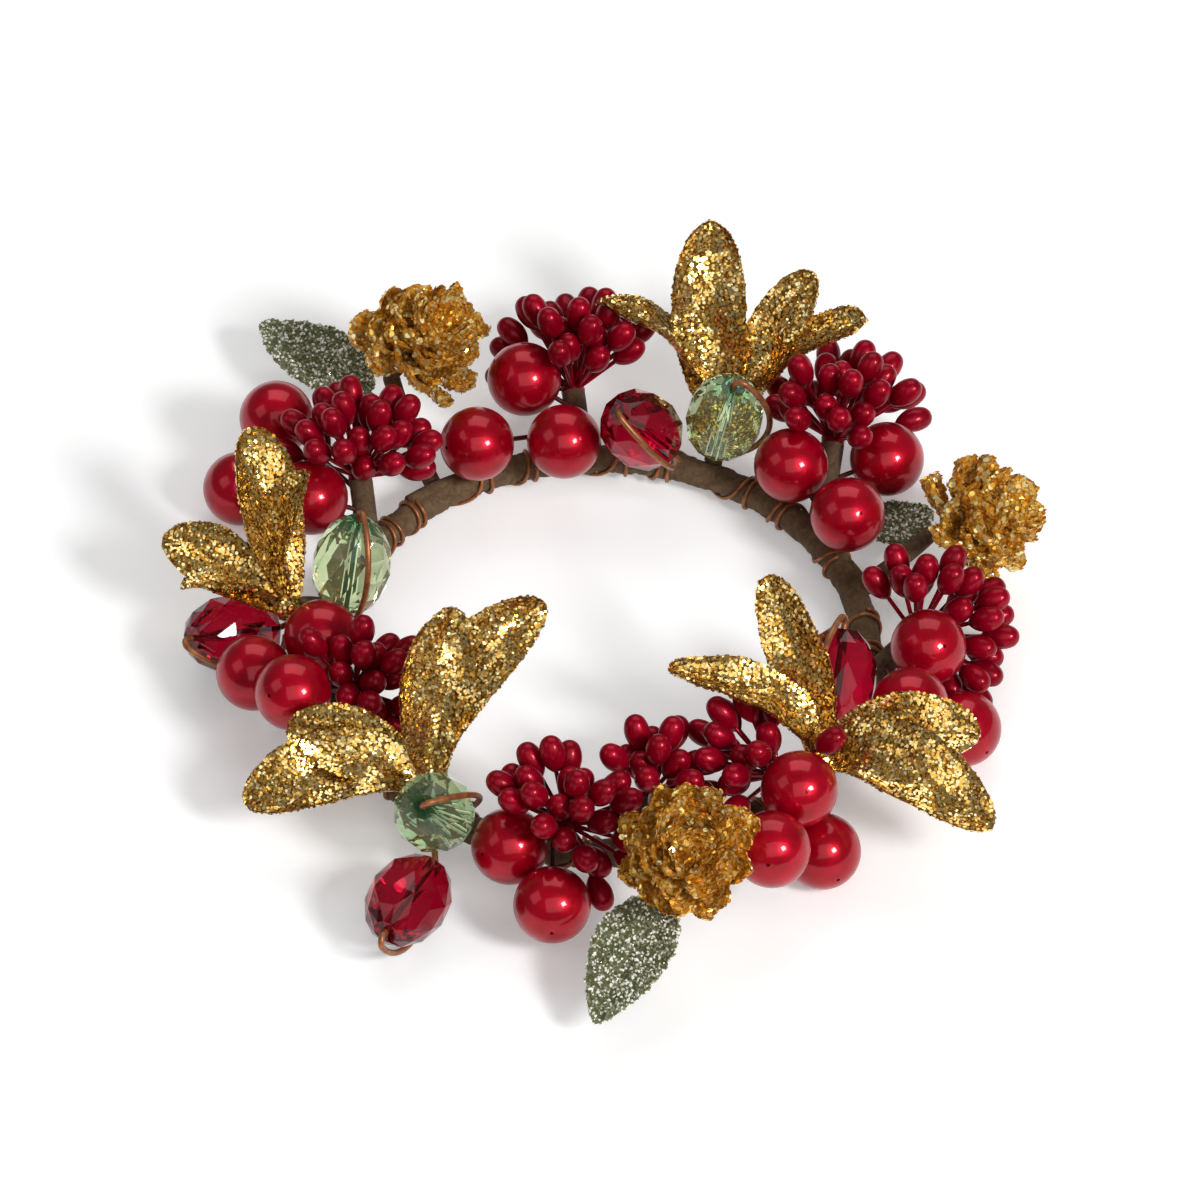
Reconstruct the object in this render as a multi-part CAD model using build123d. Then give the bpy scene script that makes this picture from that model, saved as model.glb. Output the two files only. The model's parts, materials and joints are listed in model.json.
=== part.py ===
from build123d import *
from math import acos, cos, degrees, pi, radians, sin, sqrt
import os

# A candle ring: a paper-wrapped wire hoop with berry, lily and cone sprigs bound to it.
# Millimetres, +Z up, origin on the hoop's axis at table level, +Y away from the viewer.

# The hoop and the candle it goes round
CANDLE_DIAMETER = 76.0
CANDLE_CLEARANCE = 1.45
CORE_RADIUS = 0.9
WRAP_RADIUS = 2.3
BINDING_RADIUS = 0.35
SEAT = 0.05
HOOP_HEIGHT = 4.0
BINDING_SLACK = 0.06
BINDING_ORBIT = WRAP_RADIUS + SEAT + BINDING_SLACK + BINDING_RADIUS
HOOP_RADIUS = CANDLE_DIAMETER / 2 + CANDLE_CLEARANCE + BINDING_ORBIT + BINDING_RADIUS
TURN_STEP = 15.0
WINDING_LAG = 0.7

# Large berries and their wires
BERRY_DIAMETER = 12.0
BERRY_HOLE_DEPTH = 3.0
PINHOLE_RADIUS = 0.3
PINHOLE_DEPTH = 0.6
BERRY_WIRE_RADIUS = 0.4

# Pip bunches
PIP_RADIUS = 2.0
PIP_TAIL = 3.4
PIP_SHOULDER = 24.0
THREAD_RADIUS = 0.35
KNOB_RADIUS = 2.0
BALL_FACETS = 12
BALL_LATITUDES = (-72, -45, -15, 15, 45, 72)
GOLDEN_ANGLE = 137.508
PIP_GAP = 0.35
PIP_NEIGHBOUR_GAP = 0.1
PIP_SHELLS = ((1.0, 1.0), (0.76, 0.8))

# Stalks
BERRY_STALK_RADIUS = 1.9
LILY_STALK_RADIUS = 1.5
CONE_STALK_RADIUS = 1.4
CONE_TIP_RADIUS = 0.8

# Lilies
PETAL_THICKNESS = 0.6
PETAL_WIDEST = 0.62
PETAL_FOOT = 0.28
PETAL_CUP = 0.3
PETAL_STATIONS = (0.0, 0.2, 0.42, 0.62, 0.8, 0.92, 0.985)
PETAL_ACROSS = (-1.0, -0.5, 0.0, 0.5, 1.0)
LILY_COLLAR = 2.2

# Gold cones: rim radius, rise from hub to rim and place along the axis, layer by layer
CONE_LAYERS = [
    (11.5, 4.0, 0.0), (10.4, 6.0, 1.8), (8.8, 7.0, 3.6), (6.9, 7.4, 5.6), (4.9, 7.0, 7.8), (2.9, 5.0, 10.0),
]
LOBE_PITCH = 7.4
SCALE_THICKNESS = 0.55

# Leaves
LEAF_WIDTH = 12.0
PETIOLE_RADIUS = 0.5
LEAF_THICKNESS = 0.6
LEAF_TEETH = 11
LEAF_TOOTH = 0.5
LEAF_CURVE = 16.0

# Faceted beads and their wires
BEAD_RADIUS = 6.4
BEAD_LENGTH = 16.6
BEAD_END_RADIUS = 2.0
BEAD_FACETS = 10
BEAD_WIRE_RADIUS = 0.5
RUNNING_FIT = 0.08
BEAD_LOOP_GAP = 0.45
BEAD_BEND = 1.2
BEAD_WIRE_ENTRY = 1.6
BEAD_WIRE_EXIT = 0.6
BEAD_WIRE_FOOT = 1.4

# Where each sprig stands: foot is its angle on the hoop, in degrees from +X.
# Places and directions below are (outward, along the hoop, up) from the foot.

# Berry sprigs: the head of the stalk carries a bunch of pips, and berries hang beside it.
# Berries are (place, share of the stalk at which the wire leaves it).
BERRY_SPRIGS = {
    "back": dict(
        foot=94.0, head=(10.5, 0.5, 5.0), bow=0.5, aim=(0.12, 0.34, 0.93), pips=80, spread=84.0, reach=12.5,
        berries=[((9.0, 8.5, 10.0), 0.7), ((-4.5, 17.0, 9.5), 0.4), ((-5.0, 3.0, 9.5), 0.5)],
    ),
    "back_right": dict(
        foot=35.0, head=(12.0, 12.0, 6.0), bow=-0.2, aim=(0.25, 0.17, 0.95), pips=48, spread=84.0, reach=12.5,
        berries=[((1.0, 8.5, 9.5), 0.3), ((16.5, 3.5, 6.0), 0.6), ((2.0, -5.5, 9.5), 0.25)],
    ),
    "right": dict(
        foot=350.0, head=(7.0, 8.5, 4.0), bow=0.3, aim=(0.5, -0.34, 0.8), pips=46, spread=78.0, reach=11.5,
        berries=[((10.0, 0.0, 11.0), 0.7), ((9.4, -15.4, 14.0), 0.4), ((17.0, -8.0, 2.0), 0.55)],
    ),
    "front_right": dict(
        foot=-45.0, head=(0.0, -3.5, 7.0), bow=0.5, aim=(0.0, 0.0, 1.0), pips=46, spread=78.0, reach=11.0,
        berries=[((8.6, -7.4, 13.7), 0.55), ((13.5, -18.5, 12.5), 0.35), ((13.0, -6.5, 2.0), 0.45)],
    ),
    "front": dict(
        foot=-82.0, head=(-5.5, 3.0, 7.0), bow=0.5, aim=(0.05, 0.4, 0.92), pips=60, spread=72.0, reach=9.0,
        berries=[],
    ),
    "front_left": dict(
        foot=-103.0, head=(1.0, 5.0, 8.0), bow=0.5, aim=(0.55, 0.0, 0.84), pips=48, spread=84.0, reach=10.5,
        berries=[((7.0, -2.7, 7.5), 0.5), ((15.5, 6.0, 5.5), 0.6)],
    ),
    "left": dict(
        foot=190.0, head=(-2.0, 7.5, 7.0), bow=0.5, aim=(-0.3, 0.68, 0.66), pips=46, spread=84.0, reach=9.5,
        berries=[((1.4, -2.0, 9.6), 0.4), ((12.8, 1.4, 7.1), 0.5), ((8.0, 11.5, 12.5), 0.7)],
    ),
    "back_left": dict(
        foot=150.0, head=(6.0, -7.5, 8.0), bow=0.5, aim=(-0.14, 0.24, 0.96), pips=46, spread=84.0, reach=11.5,
        berries=[((23.5, -10.5, 10.0), 0.75), ((24.5, -0.5, 2.0), 0.4), ((9.5, 2.0, 10.0), 0.55)],
    ),
}

# Lily sprigs: petals are (tip place, full width, way the inner face looks).
# Beads are (place, bore direction, side the wire returns on, where the wire starts).
# A start below 1 is a share of the stalk, and any other an angle on the hoop.
LILY_SPRIGS = {
    "back": dict(
        foot=65.0, head=(9.0, 2.0, 3.0), bow=0.3,
        petals=[((25.0, 11.5, 30.5), 12.0, (-0.7, -0.3, 0.7)), ((11.0, 24.5, 21.5), 9.0, (0.4, 0.0, 0.9)),
                ((27.5, -5.0, 24.0), 9.5, (-0.7, 0.2, 0.7)), ((24.5, -15.5, 22.0), 9.0, (-0.1, 0.3, 1.0))],
        green=((2.0, -1.5, 12.5), (-0.07, -0.2, 0.98), (0.2, -1.0, 0.2), 0.45),
        red=((-6.6, 9.25, 13.0), (-0.51, 0.22, 0.83), (-0.7, -0.7, 0.1), 70.0),
    ),
    "left": dict(
        foot=168.0, head=(6.0, 8.5, 8.5), bow=0.3,
        petals=[((15.0, -10.5, 28.5), 10.5, (-0.5, 0.5, 0.7)), ((7.0, -4.0, 27.0), 8.0, (0.7, 0.5, 0.5)),
                ((27.0, 3.5, 16.0), 10.0, (-0.3, 0.4, 0.9)), ((22.5, 10.5, 14.0), 8.0, (0.0, -0.4, 0.9))],
        green=((-3.0, 2.0, 13.5), (-0.08, -0.31, 0.95), (-0.5, 0.7, 0.4), 0.6),
        red=((14.5, 11.0, 3.2), (0.63, 0.66, 0.41), (-0.3, 1.0, 0.0), 0.3),
    ),
    "front": dict(
        foot=232.0, head=(1.5, 1.0, 7.5), bow=0.3,
        petals=[((10.5, -20.0, 15.0), 11.0, (0.4, 0.4, 0.8)), ((22.0, -19.5, 7.5), 11.5, (0.3, 0.3, 0.9)),
                ((-13.5, -5.0, 31.0), 11.5, (0.4, 0.7, 0.6)), ((-23.0, 4.5, 31.0), 11.5, (0.7, 0.3, 0.6))],
        green=((8.2, 7.4, 11.8), (0.56, 0.21, 0.8), (-0.8, 0.6, 0.2), 0.55),
        red=((19.5, 11.2, 4.1), (0.96, 0.23, 0.15), (-0.3, 0.1, -0.9), 0.35),
    ),
    "right": dict(
        foot=333.0, head=(2.0, -11.5, 8.0), bow=0.5,
        petals=[((-14.0, -0.5, 31.5), 10.5, (0.0, -0.8, 0.6)), ((-22.5, -15.5, 22.5), 9.0, (0.2, -0.1, 1.0)),
                ((25.0, -3.0, 18.0), 11.5, (0.1, -0.5, 0.9)), ((33.0, -15.0, 12.0), 11.5, (0.1, -0.4, 0.9))],
        red=((-1.0, 0.1, 13.7), (-0.19, 0.68, 0.71), (-0.1, -0.7, 0.7), 0.55),
    ),
}

# Cone sprigs: the cone stands on the head of its stalk, and a leaf grows from the stalk below it
CONE_SPRIGS = {
    "back_left": dict(
        foot=127.0, head=(20.0, -5.0, 8.0), bow=-0.4, axis=(-0.39, -0.33, 0.86),
        leaf=(46.0, 2.5, 4.0), blade=24.0,
    ),
    "right": dict(
        foot=18.0, head=(14.0, 3.5, 5.0), bow=-0.2, axis=(0.7, -0.43, 0.57),
        leaf=(11.0, 16.0, 0.5), blade=11.0,
    ),
    "front": dict(
        foot=-68.0, head=(12.5, -8.0, 13.5), bow=0.3, axis=(0.6, -0.24, 0.76),
        leaf=(30.5, -30.0, 2.0), blade=24.0,
    ),
}


# Frames

def on_hoop(angle):
    """Point on the hoop's centreline."""
    return Vector(HOOP_RADIUS * cos(radians(angle)), HOOP_RADIUS * sin(radians(angle)), HOOP_HEIGHT)


def heading(foot, way):
    """Direction given as (outward, along, up) at a foot, as a unit vector."""
    out = Vector(cos(radians(foot)), sin(radians(foot)), 0)
    along = Vector(-sin(radians(foot)), cos(radians(foot)), 0)
    return (out * way[0] + along * way[1] + Vector(0, 0, way[2])).normalized()


def spot(foot, place):
    """Point given as (outward, along, up) from a foot."""
    length = sqrt(place[0] ** 2 + place[1] ** 2 + place[2] ** 2)
    if length == 0:
        return on_hoop(foot)
    return on_hoop(foot) + heading(foot, place) * length


def square_to(way, rough):
    """The part of a rough direction that is square to another, as a unit vector."""
    return (rough - way * rough.dot(way)).normalized()


# Hoop

def hoop_core():
    return Pos(0, 0, HOOP_HEIGHT) * Torus(HOOP_RADIUS, CORE_RADIUS)


def hoop_wrap():
    outer = Pos(0, 0, HOOP_HEIGHT) * Torus(HOOP_RADIUS, WRAP_RADIUS)
    return outer - Pos(0, 0, HOOP_HEIGHT) * Torus(HOOP_RADIUS, CORE_RADIUS + SEAT)


def hoop_room():
    """The hoop with its seat, for trimming the feet of the stalks."""
    return Pos(0, 0, HOOP_HEIGHT) * Torus(HOOP_RADIUS, WRAP_RADIUS + SEAT)


# Stalks

def stalk_line(sprig):
    """An arc from the hoop's centreline to the head of a stalk."""
    start = on_hoop(sprig["foot"])
    end = spot(sprig["foot"], sprig["head"])
    rise = (end - start).normalized() + Vector(0, 0, sprig["bow"])
    return TangentArc(start, end, tangent=rise)


def tube(path, radius):
    return sweep(Plane(origin=path @ 0, z_dir=path % 0) * Circle(radius), path=path)


def rod(start, end, radius):
    way = end - start
    return Solid.make_cylinder(radius, way.length, Plane(origin=start, z_dir=way))


def capped_stalk(sprig, radius, knob):
    """A taped stalk, seated on the hoop and hollowed at its head for a round knob."""
    stalk = tube(stalk_line(sprig), radius) - hoop_room()
    return stalk - Pos(spot(sprig["foot"], sprig["head"])) * Sphere(knob + SEAT)


def faceted_ball(centre, radius):
    """A ball of flat facets inside a sphere, for what thin pieces grow from."""
    rings = []
    for latitude in BALL_LATITUDES:
        turn = radians(latitude)
        angles = [2 * pi * step / BALL_FACETS for step in range(BALL_FACETS)]
        ways = [Vector(cos(turn) * cos(a), cos(turn) * sin(a), sin(turn)) for a in angles]
        rings.append([centre + way * radius for way in ways])
    faces = [Face(Wire.make_polygon(rings[0])), Face(Wire.make_polygon(rings[-1]))]
    for low, high in zip(rings, rings[1:]):
        for step in range(BALL_FACETS):
            after = (step + 1) % BALL_FACETS
            faces.append(Face(Wire.make_polygon([low[step], low[after], high[after], high[step]])))
    return Solid(Shell(faces))


# Large berries

def berry_wire_line(sprig, number):
    """From the stalk's centre to the bottom of the berry's hole."""
    place, share = sprig["berries"][number]
    start = stalk_line(sprig) @ share
    centre = spot(sprig["foot"], place)
    way = (centre - start).normalized()
    return start, centre - way * (BERRY_DIAMETER / 2 - BERRY_HOLE_DEPTH), way


def berry(sprig, number):
    centre = spot(sprig["foot"], sprig["berries"][number][0])
    way = berry_wire_line(sprig, number)[2]
    near = centre - way * BERRY_DIAMETER
    hole = rod(near, centre - way * (BERRY_DIAMETER / 2 - BERRY_HOLE_DEPTH - SEAT), BERRY_WIRE_RADIUS + SEAT)
    far = centre + way * (BERRY_DIAMETER / 2 - PINHOLE_DEPTH)
    pinhole = rod(far, far + way * BERRY_DIAMETER, PINHOLE_RADIUS)
    return Pos(centre) * Sphere(BERRY_DIAMETER / 2) - hole - pinhole


def berry_wire(sprig, number):
    start, end, way = berry_wire_line(sprig, number)
    return rod(start, end, BERRY_WIRE_RADIUS) - tube(stalk_line(sprig), BERRY_STALK_RADIUS + SEAT)


# Lilies

def petal_station(sprig, number, share):
    """Centre, side, inward normal and half width of a petal at a share of its length."""
    foot = sprig["foot"]
    head = spot(foot, sprig["head"])
    tips = [spot(foot, place) - head for place, width, face in sprig["petals"]]
    axis = sum((tip.normalized() for tip in tips), Vector(0, 0, 0)).normalized()
    tip = tips[number]
    lean = square_to(axis, tip)
    face = heading(foot, sprig["petals"][number][2])
    first = head + lean * (0.5 * LILY_COLLAR) + axis * (0.3 * LILY_COLLAR)
    bend = head + axis * (0.42 * tip.length) + lean * (0.16 * tip.length)
    last = head + tip
    point = first * (1 - share) ** 2 + bend * (2 * share * (1 - share)) + last * share ** 2
    run = ((bend - first) * (1 - share) + (last - bend) * share).normalized()
    inward = square_to(run, face)
    side = run.cross(inward)
    if share < PETAL_WIDEST:
        swell = PETAL_FOOT + (1 - PETAL_FOOT) * sin(pi / 2 * share / PETAL_WIDEST)
    else:
        swell = sqrt(max(0.0, 1 - ((share - PETAL_WIDEST) / (1 - PETAL_WIDEST)) ** 2))
    return point, side, inward, swell * sprig["petals"][number][1] / 2


def flat_faces(corners):
    """Two triangles for four corners that may not lie in one plane."""
    first, second, third, fourth = corners
    return [Face(Wire.make_polygon([first, second, third])), Face(Wire.make_polygon([first, third, fourth]))]


def petal(sprig, number):
    """A cupped petal of flat facets, with the same thickness all over."""
    backs = []
    fronts = []
    for share in PETAL_STATIONS:
        point, side, inward, half = petal_station(sprig, number, share)
        row = [point + side * (half * a) + inward * (half * PETAL_CUP * a ** 2) for a in PETAL_ACROSS]
        backs.append(row)
        fronts.append([corner + inward * PETAL_THICKNESS for corner in row])
    faces = [
        Face(Wire.make_polygon(backs[0] + fronts[0][::-1])),
        Face(Wire.make_polygon(backs[-1] + fronts[-1][::-1])),
    ]
    for step in range(len(PETAL_STATIONS) - 1):
        for rows in (backs, fronts):
            low, high = rows[step], rows[step + 1]
            for cell in range(len(PETAL_ACROSS) - 1):
                faces += flat_faces([low[cell], low[cell + 1], high[cell + 1], high[cell]])
        for rim in (0, -1):
            near, far = backs[step][rim], backs[step + 1][rim]
            faces += flat_faces([near, fronts[step][rim], fronts[step + 1][rim], far])
    return Solid(Shell(faces))


def lily(sprig):
    collar = faceted_ball(spot(sprig["foot"], sprig["head"]), LILY_COLLAR)
    return collar.fuse(*[petal(sprig, number) for number in range(len(sprig["petals"]))])


# Beads

def bead_frame(sprig, bead):
    """Centre, bore direction and the side on which the wire comes back."""
    centre = spot(sprig["foot"], sprig[bead][0])
    bore = heading(sprig["foot"], sprig[bead][1])
    return centre, bore, square_to(bore, heading(sprig["foot"], sprig[bead][2]))


def faceted_bead(sprig, bead):
    centre, bore, side = bead_frame(sprig, bead)
    frame = Plane(origin=centre, x_dir=side, z_dir=bore)
    half = BEAD_LENGTH / 2
    stretch = half / sqrt(1 - (BEAD_END_RADIUS / BEAD_RADIUS) ** 2)
    rings = []
    for row, share in enumerate((-1.0, -0.78, -0.43, 0.0, 0.43, 0.78, 1.0)):
        height = share * half
        radius = BEAD_RADIUS * sqrt(1 - (height / stretch) ** 2)
        shift = 0.5 * (row % 2)
        angles = [2 * pi * (step + shift) / BEAD_FACETS for step in range(BEAD_FACETS)]
        rings.append([Vector(radius * cos(a), radius * sin(a), height) for a in angles])
    faces = [Face(Wire.make_polygon(rings[0])), Face(Wire.make_polygon(rings[-1]))]
    for row in range(len(rings) - 1):
        low, high = rings[row], rings[row + 1]
        lead = row % 2
        for step in range(BEAD_FACETS):
            after = (step + 1) % BEAD_FACETS
            if lead == 0:
                faces.append(Face(Wire.make_polygon([low[step], low[after], high[step]])))
                faces.append(Face(Wire.make_polygon([low[after], high[after], high[step]])))
            else:
                faces.append(Face(Wire.make_polygon([low[step], low[after], high[after]])))
                faces.append(Face(Wire.make_polygon([low[step], high[after], high[step]])))
    body = Solid(Shell(faces))
    hole = Solid.make_cylinder(BEAD_WIRE_RADIUS + RUNNING_FIT, 2 * BEAD_LENGTH, Plane((0, 0, -BEAD_LENGTH)))
    return frame * (body - hole)


def loop_sweep(exit_height, foot_height):
    """Turn of the wire at the bead's end, so that it passes the bead's side at the loop gap."""
    wanted = BEAD_RADIUS + BEAD_LOOP_GAP + BEAD_WIRE_RADIUS
    low, high = 91.0, 160.0
    for step in range(40):
        middle = (low + high) / 2
        start = BEAD_BEND * (1 - cos(radians(middle)))
        chord = exit_height + BEAD_BEND * sin(radians(middle)) + foot_height
        reach = start + chord / 2 * sin(radians(90 - middle / 2)) / cos(radians(90 - middle / 2))
        if reach > wanted:
            low = middle
        else:
            high = middle
    return low


def bead_wire_path(sprig, bead):
    """One line from the stalk through the bore, over the bead's end and back down its side."""
    centre, bore, side = bead_frame(sprig, bead)
    half = BEAD_LENGTH / 2
    entry = half + BEAD_WIRE_ENTRY
    leave = half + BEAD_WIRE_EXIT
    below = half + BEAD_WIRE_FOOT
    turned = radians(loop_sweep(leave, below))

    def at(along, out):
        return centre + bore * along + side * out

    root = sprig[bead][3]
    start = stalk_line(sprig) @ root if root < 1 else on_hoop(root)
    legs = []
    if (start - at(-entry, 0)).length > 2.5:
        legs += FilletPolyline(start, at(-entry, 0), at(leave, 0), radius=0.8).edges()
    else:
        legs.append(Edge.make_line(at(-entry, 0), at(leave, 0)))
    half_turn = turned / 2
    middle = at(leave + BEAD_BEND * sin(half_turn), BEAD_BEND * (1 - cos(half_turn)))
    end = at(leave + BEAD_BEND * sin(turned), BEAD_BEND * (1 - cos(turned)))
    legs.append(Edge.make_three_point_arc(at(leave, 0), middle, end))
    way = bore * cos(turned) + side * sin(turned)
    legs.append(Edge.make_tangent_arc(end, way, at(-below, BEAD_BEND * (1 - cos(turned)))))
    return legs


def bead_wire(sprig, bead):
    wire = tube(Wire(bead_wire_path(sprig, bead)), BEAD_WIRE_RADIUS)
    if sprig[bead][3] < 1:
        return wire - tube(stalk_line(sprig), LILY_STALK_RADIUS + SEAT)
    return wire - hoop_room()


# Cones and leaves

def cone_frame(sprig):
    axis = heading(sprig["foot"], sprig["axis"])
    return Plane(origin=spot(sprig["foot"], sprig["head"]), z_dir=axis)


def cone_layer(rim, rise, place, number):
    """A ring of rounded scales: a thin cone trimmed to a lobed outline."""
    hub = CONE_TIP_RADIUS + SEAT
    slope = rise / (rim - hub)
    depth = SCALE_THICKNESS * sqrt(1 + slope ** 2)
    outline = Polyline((hub, 0, place), (rim, 0, place + rise), (rim, 0, place + rise + depth),
                       (hub, 0, place + depth), close=True)
    shell = revolve(make_face(outline), Axis.Z)
    lobes = Circle(hub + 1.6)
    count = max(5, round(2 * pi * rim / LOBE_PITCH))
    width = 0.85 * rim * sin(pi / count)
    for step in range(count):
        lobes += Rot(0, 0, 360 * (step + 0.5 * number) / count) * Pos(rim / 2, 0) * Ellipse(rim / 2, width)
    return shell & extrude(lobes, amount=40)


def cone_layers(sprig):
    seat = CONE_STALK_RADIUS + SEAT
    layers = []
    for number, (rim, rise, place) in enumerate(CONE_LAYERS):
        layers.append(cone_frame(sprig) * cone_layer(rim, rise, place + seat, number))
    return layers


def cone_stalk(sprig):
    frame = cone_frame(sprig)
    top = CONE_LAYERS[-1][2] + 3.0
    stalk = tube(stalk_line(sprig), CONE_STALK_RADIUS) - hoop_room()
    knob = Pos(frame.origin) * Sphere(CONE_STALK_RADIUS)
    pin = Solid.make_cylinder(CONE_TIP_RADIUS, CONE_STALK_RADIUS + top, frame)
    return stalk + knob + pin


def leaf_frame(sprig):
    """Frame at the blade's foot: X to the tip, Z up out of the blade."""
    root = stalk_line(sprig) @ 0.7
    tip = spot(sprig["foot"], sprig["leaf"])
    way = (tip - root).normalized()
    return root, Plane(origin=tip - way * sprig["blade"], x_dir=way, z_dir=square_to(way, Vector(0, 0, 1)))


def leaf_half_width(share):
    return LEAF_WIDTH / 2 * sin(pi * share ** 0.8) ** 0.8


def leaf(sprig):
    root, frame = leaf_frame(sprig)
    length = sprig["blade"]
    edge = []
    for step in range(1, 2 * LEAF_TEETH):
        share = step / (2 * LEAF_TEETH)
        edge.append((length * share, leaf_half_width(share) + LEAF_TOOTH * (step % 2)))
    corners = [(0, 0.6)] + edge + [(length, 0)] + [(x, -y) for x, y in reversed(edge)] + [(0, -0.6)]
    outline = extrude(make_face(Polyline(*corners, close=True)), amount=10, both=True)
    bow = Plane(origin=(-1, 0, LEAF_CURVE), z_dir=(1, 0, 0))
    shell = bow * (Cylinder(LEAF_CURVE, length + 2, align=(Align.CENTER, Align.CENTER, Align.MIN))
                   - Cylinder(LEAF_CURVE - LEAF_THICKNESS, length + 2,
                              align=(Align.CENTER, Align.CENTER, Align.MIN)))
    lower = Pos(length / 2, 0, 0) * Box(2 * length, 4 * LEAF_WIDTH, LEAF_CURVE)
    blade = frame * (outline & shell & lower)
    petiole = rod(root, frame.origin + frame.x_dir * 2 + frame.z_dir * (LEAF_THICKNESS / 2), PETIOLE_RADIUS)
    return blade + (petiole - tube(stalk_line(sprig), CONE_STALK_RADIUS + SEAT))


# Pips

def pip_samples(base, way, reach):
    """Spheres that cover one pip and its thread, for keeping pips apart from the rest."""
    samples = []
    along = KNOB_RADIUS + 1.0
    while along < reach - PIP_TAIL:
        samples.append((*(base + way * along), THREAD_RADIUS))
        along += 1.0
    for step, share in ((-1.5, 0.74), (0.0, 1.0), (1.3, 0.8)):
        samples.append((*(base + way * (reach + step)), share * PIP_RADIUS))
    return samples


def line_samples(points, radius):
    return [(*point, radius) for point in points]


def piece_samples():
    """Spheres that cover the berries, beads, lilies, cones, leaves, stalks and wires."""
    samples = []
    for sprig in BERRY_SPRIGS.values():
        samples += line_samples([stalk_line(sprig) @ (step / 12) for step in range(10)], BERRY_STALK_RADIUS)
        for number, (place, share) in enumerate(sprig["berries"]):
            samples.append((*spot(sprig["foot"], place), BERRY_DIAMETER / 2))
            start, end, way = berry_wire_line(sprig, number)
            count = int((end - start).length)
            samples += line_samples([start + way * step for step in range(3, count)], BERRY_WIRE_RADIUS)
    for sprig in LILY_SPRIGS.values():
        samples += line_samples([stalk_line(sprig) @ (step / 12) for step in range(13)], LILY_STALK_RADIUS)
        for number in range(len(sprig["petals"])):
            for step in range(21):
                point, side, inward, half = petal_station(sprig, number, step / 20)
                for across in (-1.0, -0.75, -0.5, -0.25, 0.0, 0.25, 0.5, 0.75, 1.0):
                    lift = half * PETAL_CUP * across ** 2 + PETAL_THICKNESS / 2
                    samples.append((*(point + side * (half * across) + inward * lift), 0.7))
        for bead in ("green", "red"):
            if bead in sprig:
                centre, bore, side = bead_frame(sprig, bead)
                for along, radius in ((0, 1.0), (0.25, 0.98), (0.5, 0.85), (0.75, 0.62), (0.95, 0.35)):
                    for way in (-1, 1):
                        place = centre + bore * (way * along * BEAD_LENGTH / 2)
                        samples.append((*place, radius * BEAD_RADIUS))
                for edge in bead_wire_path(sprig, bead):
                    samples += line_samples([edge @ (step / 20) for step in range(21)], BEAD_WIRE_RADIUS)
    for sprig in CONE_SPRIGS.values():
        samples += line_samples([stalk_line(sprig) @ (step / 12) for step in range(13)], CONE_STALK_RADIUS)
        frame = cone_frame(sprig)
        for rim, rise, place in CONE_LAYERS:
            for share in (0.2, 0.4, 0.6, 0.8, 0.95):
                height = place + rise * share + CONE_STALK_RADIUS + SCALE_THICKNESS
                for step in range(24):
                    turn = 2 * pi * step / 24
                    point = Vector(rim * share * cos(turn), rim * share * sin(turn), height)
                    samples.append((*frame.from_local_coords(point), 0.7))
        root, frame = leaf_frame(sprig)
        for step in range(15):
            half = leaf_half_width(step / 14) + LEAF_TOOTH
            for across in (-1.0, -0.5, 0.0, 0.5, 1.0):
                lift = (half * across) ** 2 / 2 / LEAF_CURVE
                point = Vector(sprig["blade"] * step / 14, half * across, lift)
                samples.append((*frame.from_local_coords(point), 0.7))
    for step in range(180):
        samples.append((*on_hoop(2 * step), BINDING_ORBIT + BINDING_RADIUS))
    return samples


def keeps_clear(samples, others, gap):
    for x, y, z, radius in samples:
        if z - radius < PIP_GAP:
            return False
        for a, b, c, size in others:
            room = radius + size + gap
            if (x - a) ** 2 + (y - b) ** 2 + (z - c) ** 2 < room ** 2:
                return False
    return True


def place_pips():
    """Direction and reach of every pip, bunch by bunch, leaving out those that would touch something."""
    taken = piece_samples()
    bunches = {}
    for name, sprig in BERRY_SPRIGS.items():
        base = spot(sprig["foot"], sprig["head"])
        frame = Plane(origin=base, z_dir=heading(sprig["foot"], sprig["aim"]))
        span = sprig["reach"] + 2 * PIP_RADIUS + BERRY_DIAMETER
        near = [s for s in taken if (Vector(*s[:3]) - base).length < span]
        away = stalk_line(sprig) % 1
        rays = []
        own = []
        for reach, amount in PIP_SHELLS:
            count = round(sprig["pips"] * amount)
            for step in range(count):
                tilt = acos(1 - (1 - cos(radians(sprig["spread"]))) * (step + 0.5) / count)
                turn = radians(GOLDEN_ANGLE * (step + 0.5 * (reach < 1)))
                local = Vector(sin(tilt) * cos(turn), sin(tilt) * sin(turn), cos(tilt))
                way = frame.from_local_coords(local) - base
                if way.dot(away) < -0.25:
                    continue
                for share in (1.0 + 0.14 * (step % 3 - 1), 1.2, 0.9, 0.8, 0.7):
                    length = sprig["reach"] * reach * share
                    pip = pip_samples(base, way, length)
                    if keeps_clear(pip, near, PIP_GAP) and keeps_clear(pip[2:], own, PIP_NEIGHBOUR_GAP):
                        rays.append((way, length))
                        own += pip[2:]
                        taken += pip
                        break
        bunches[name] = rays
    return bunches


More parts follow.
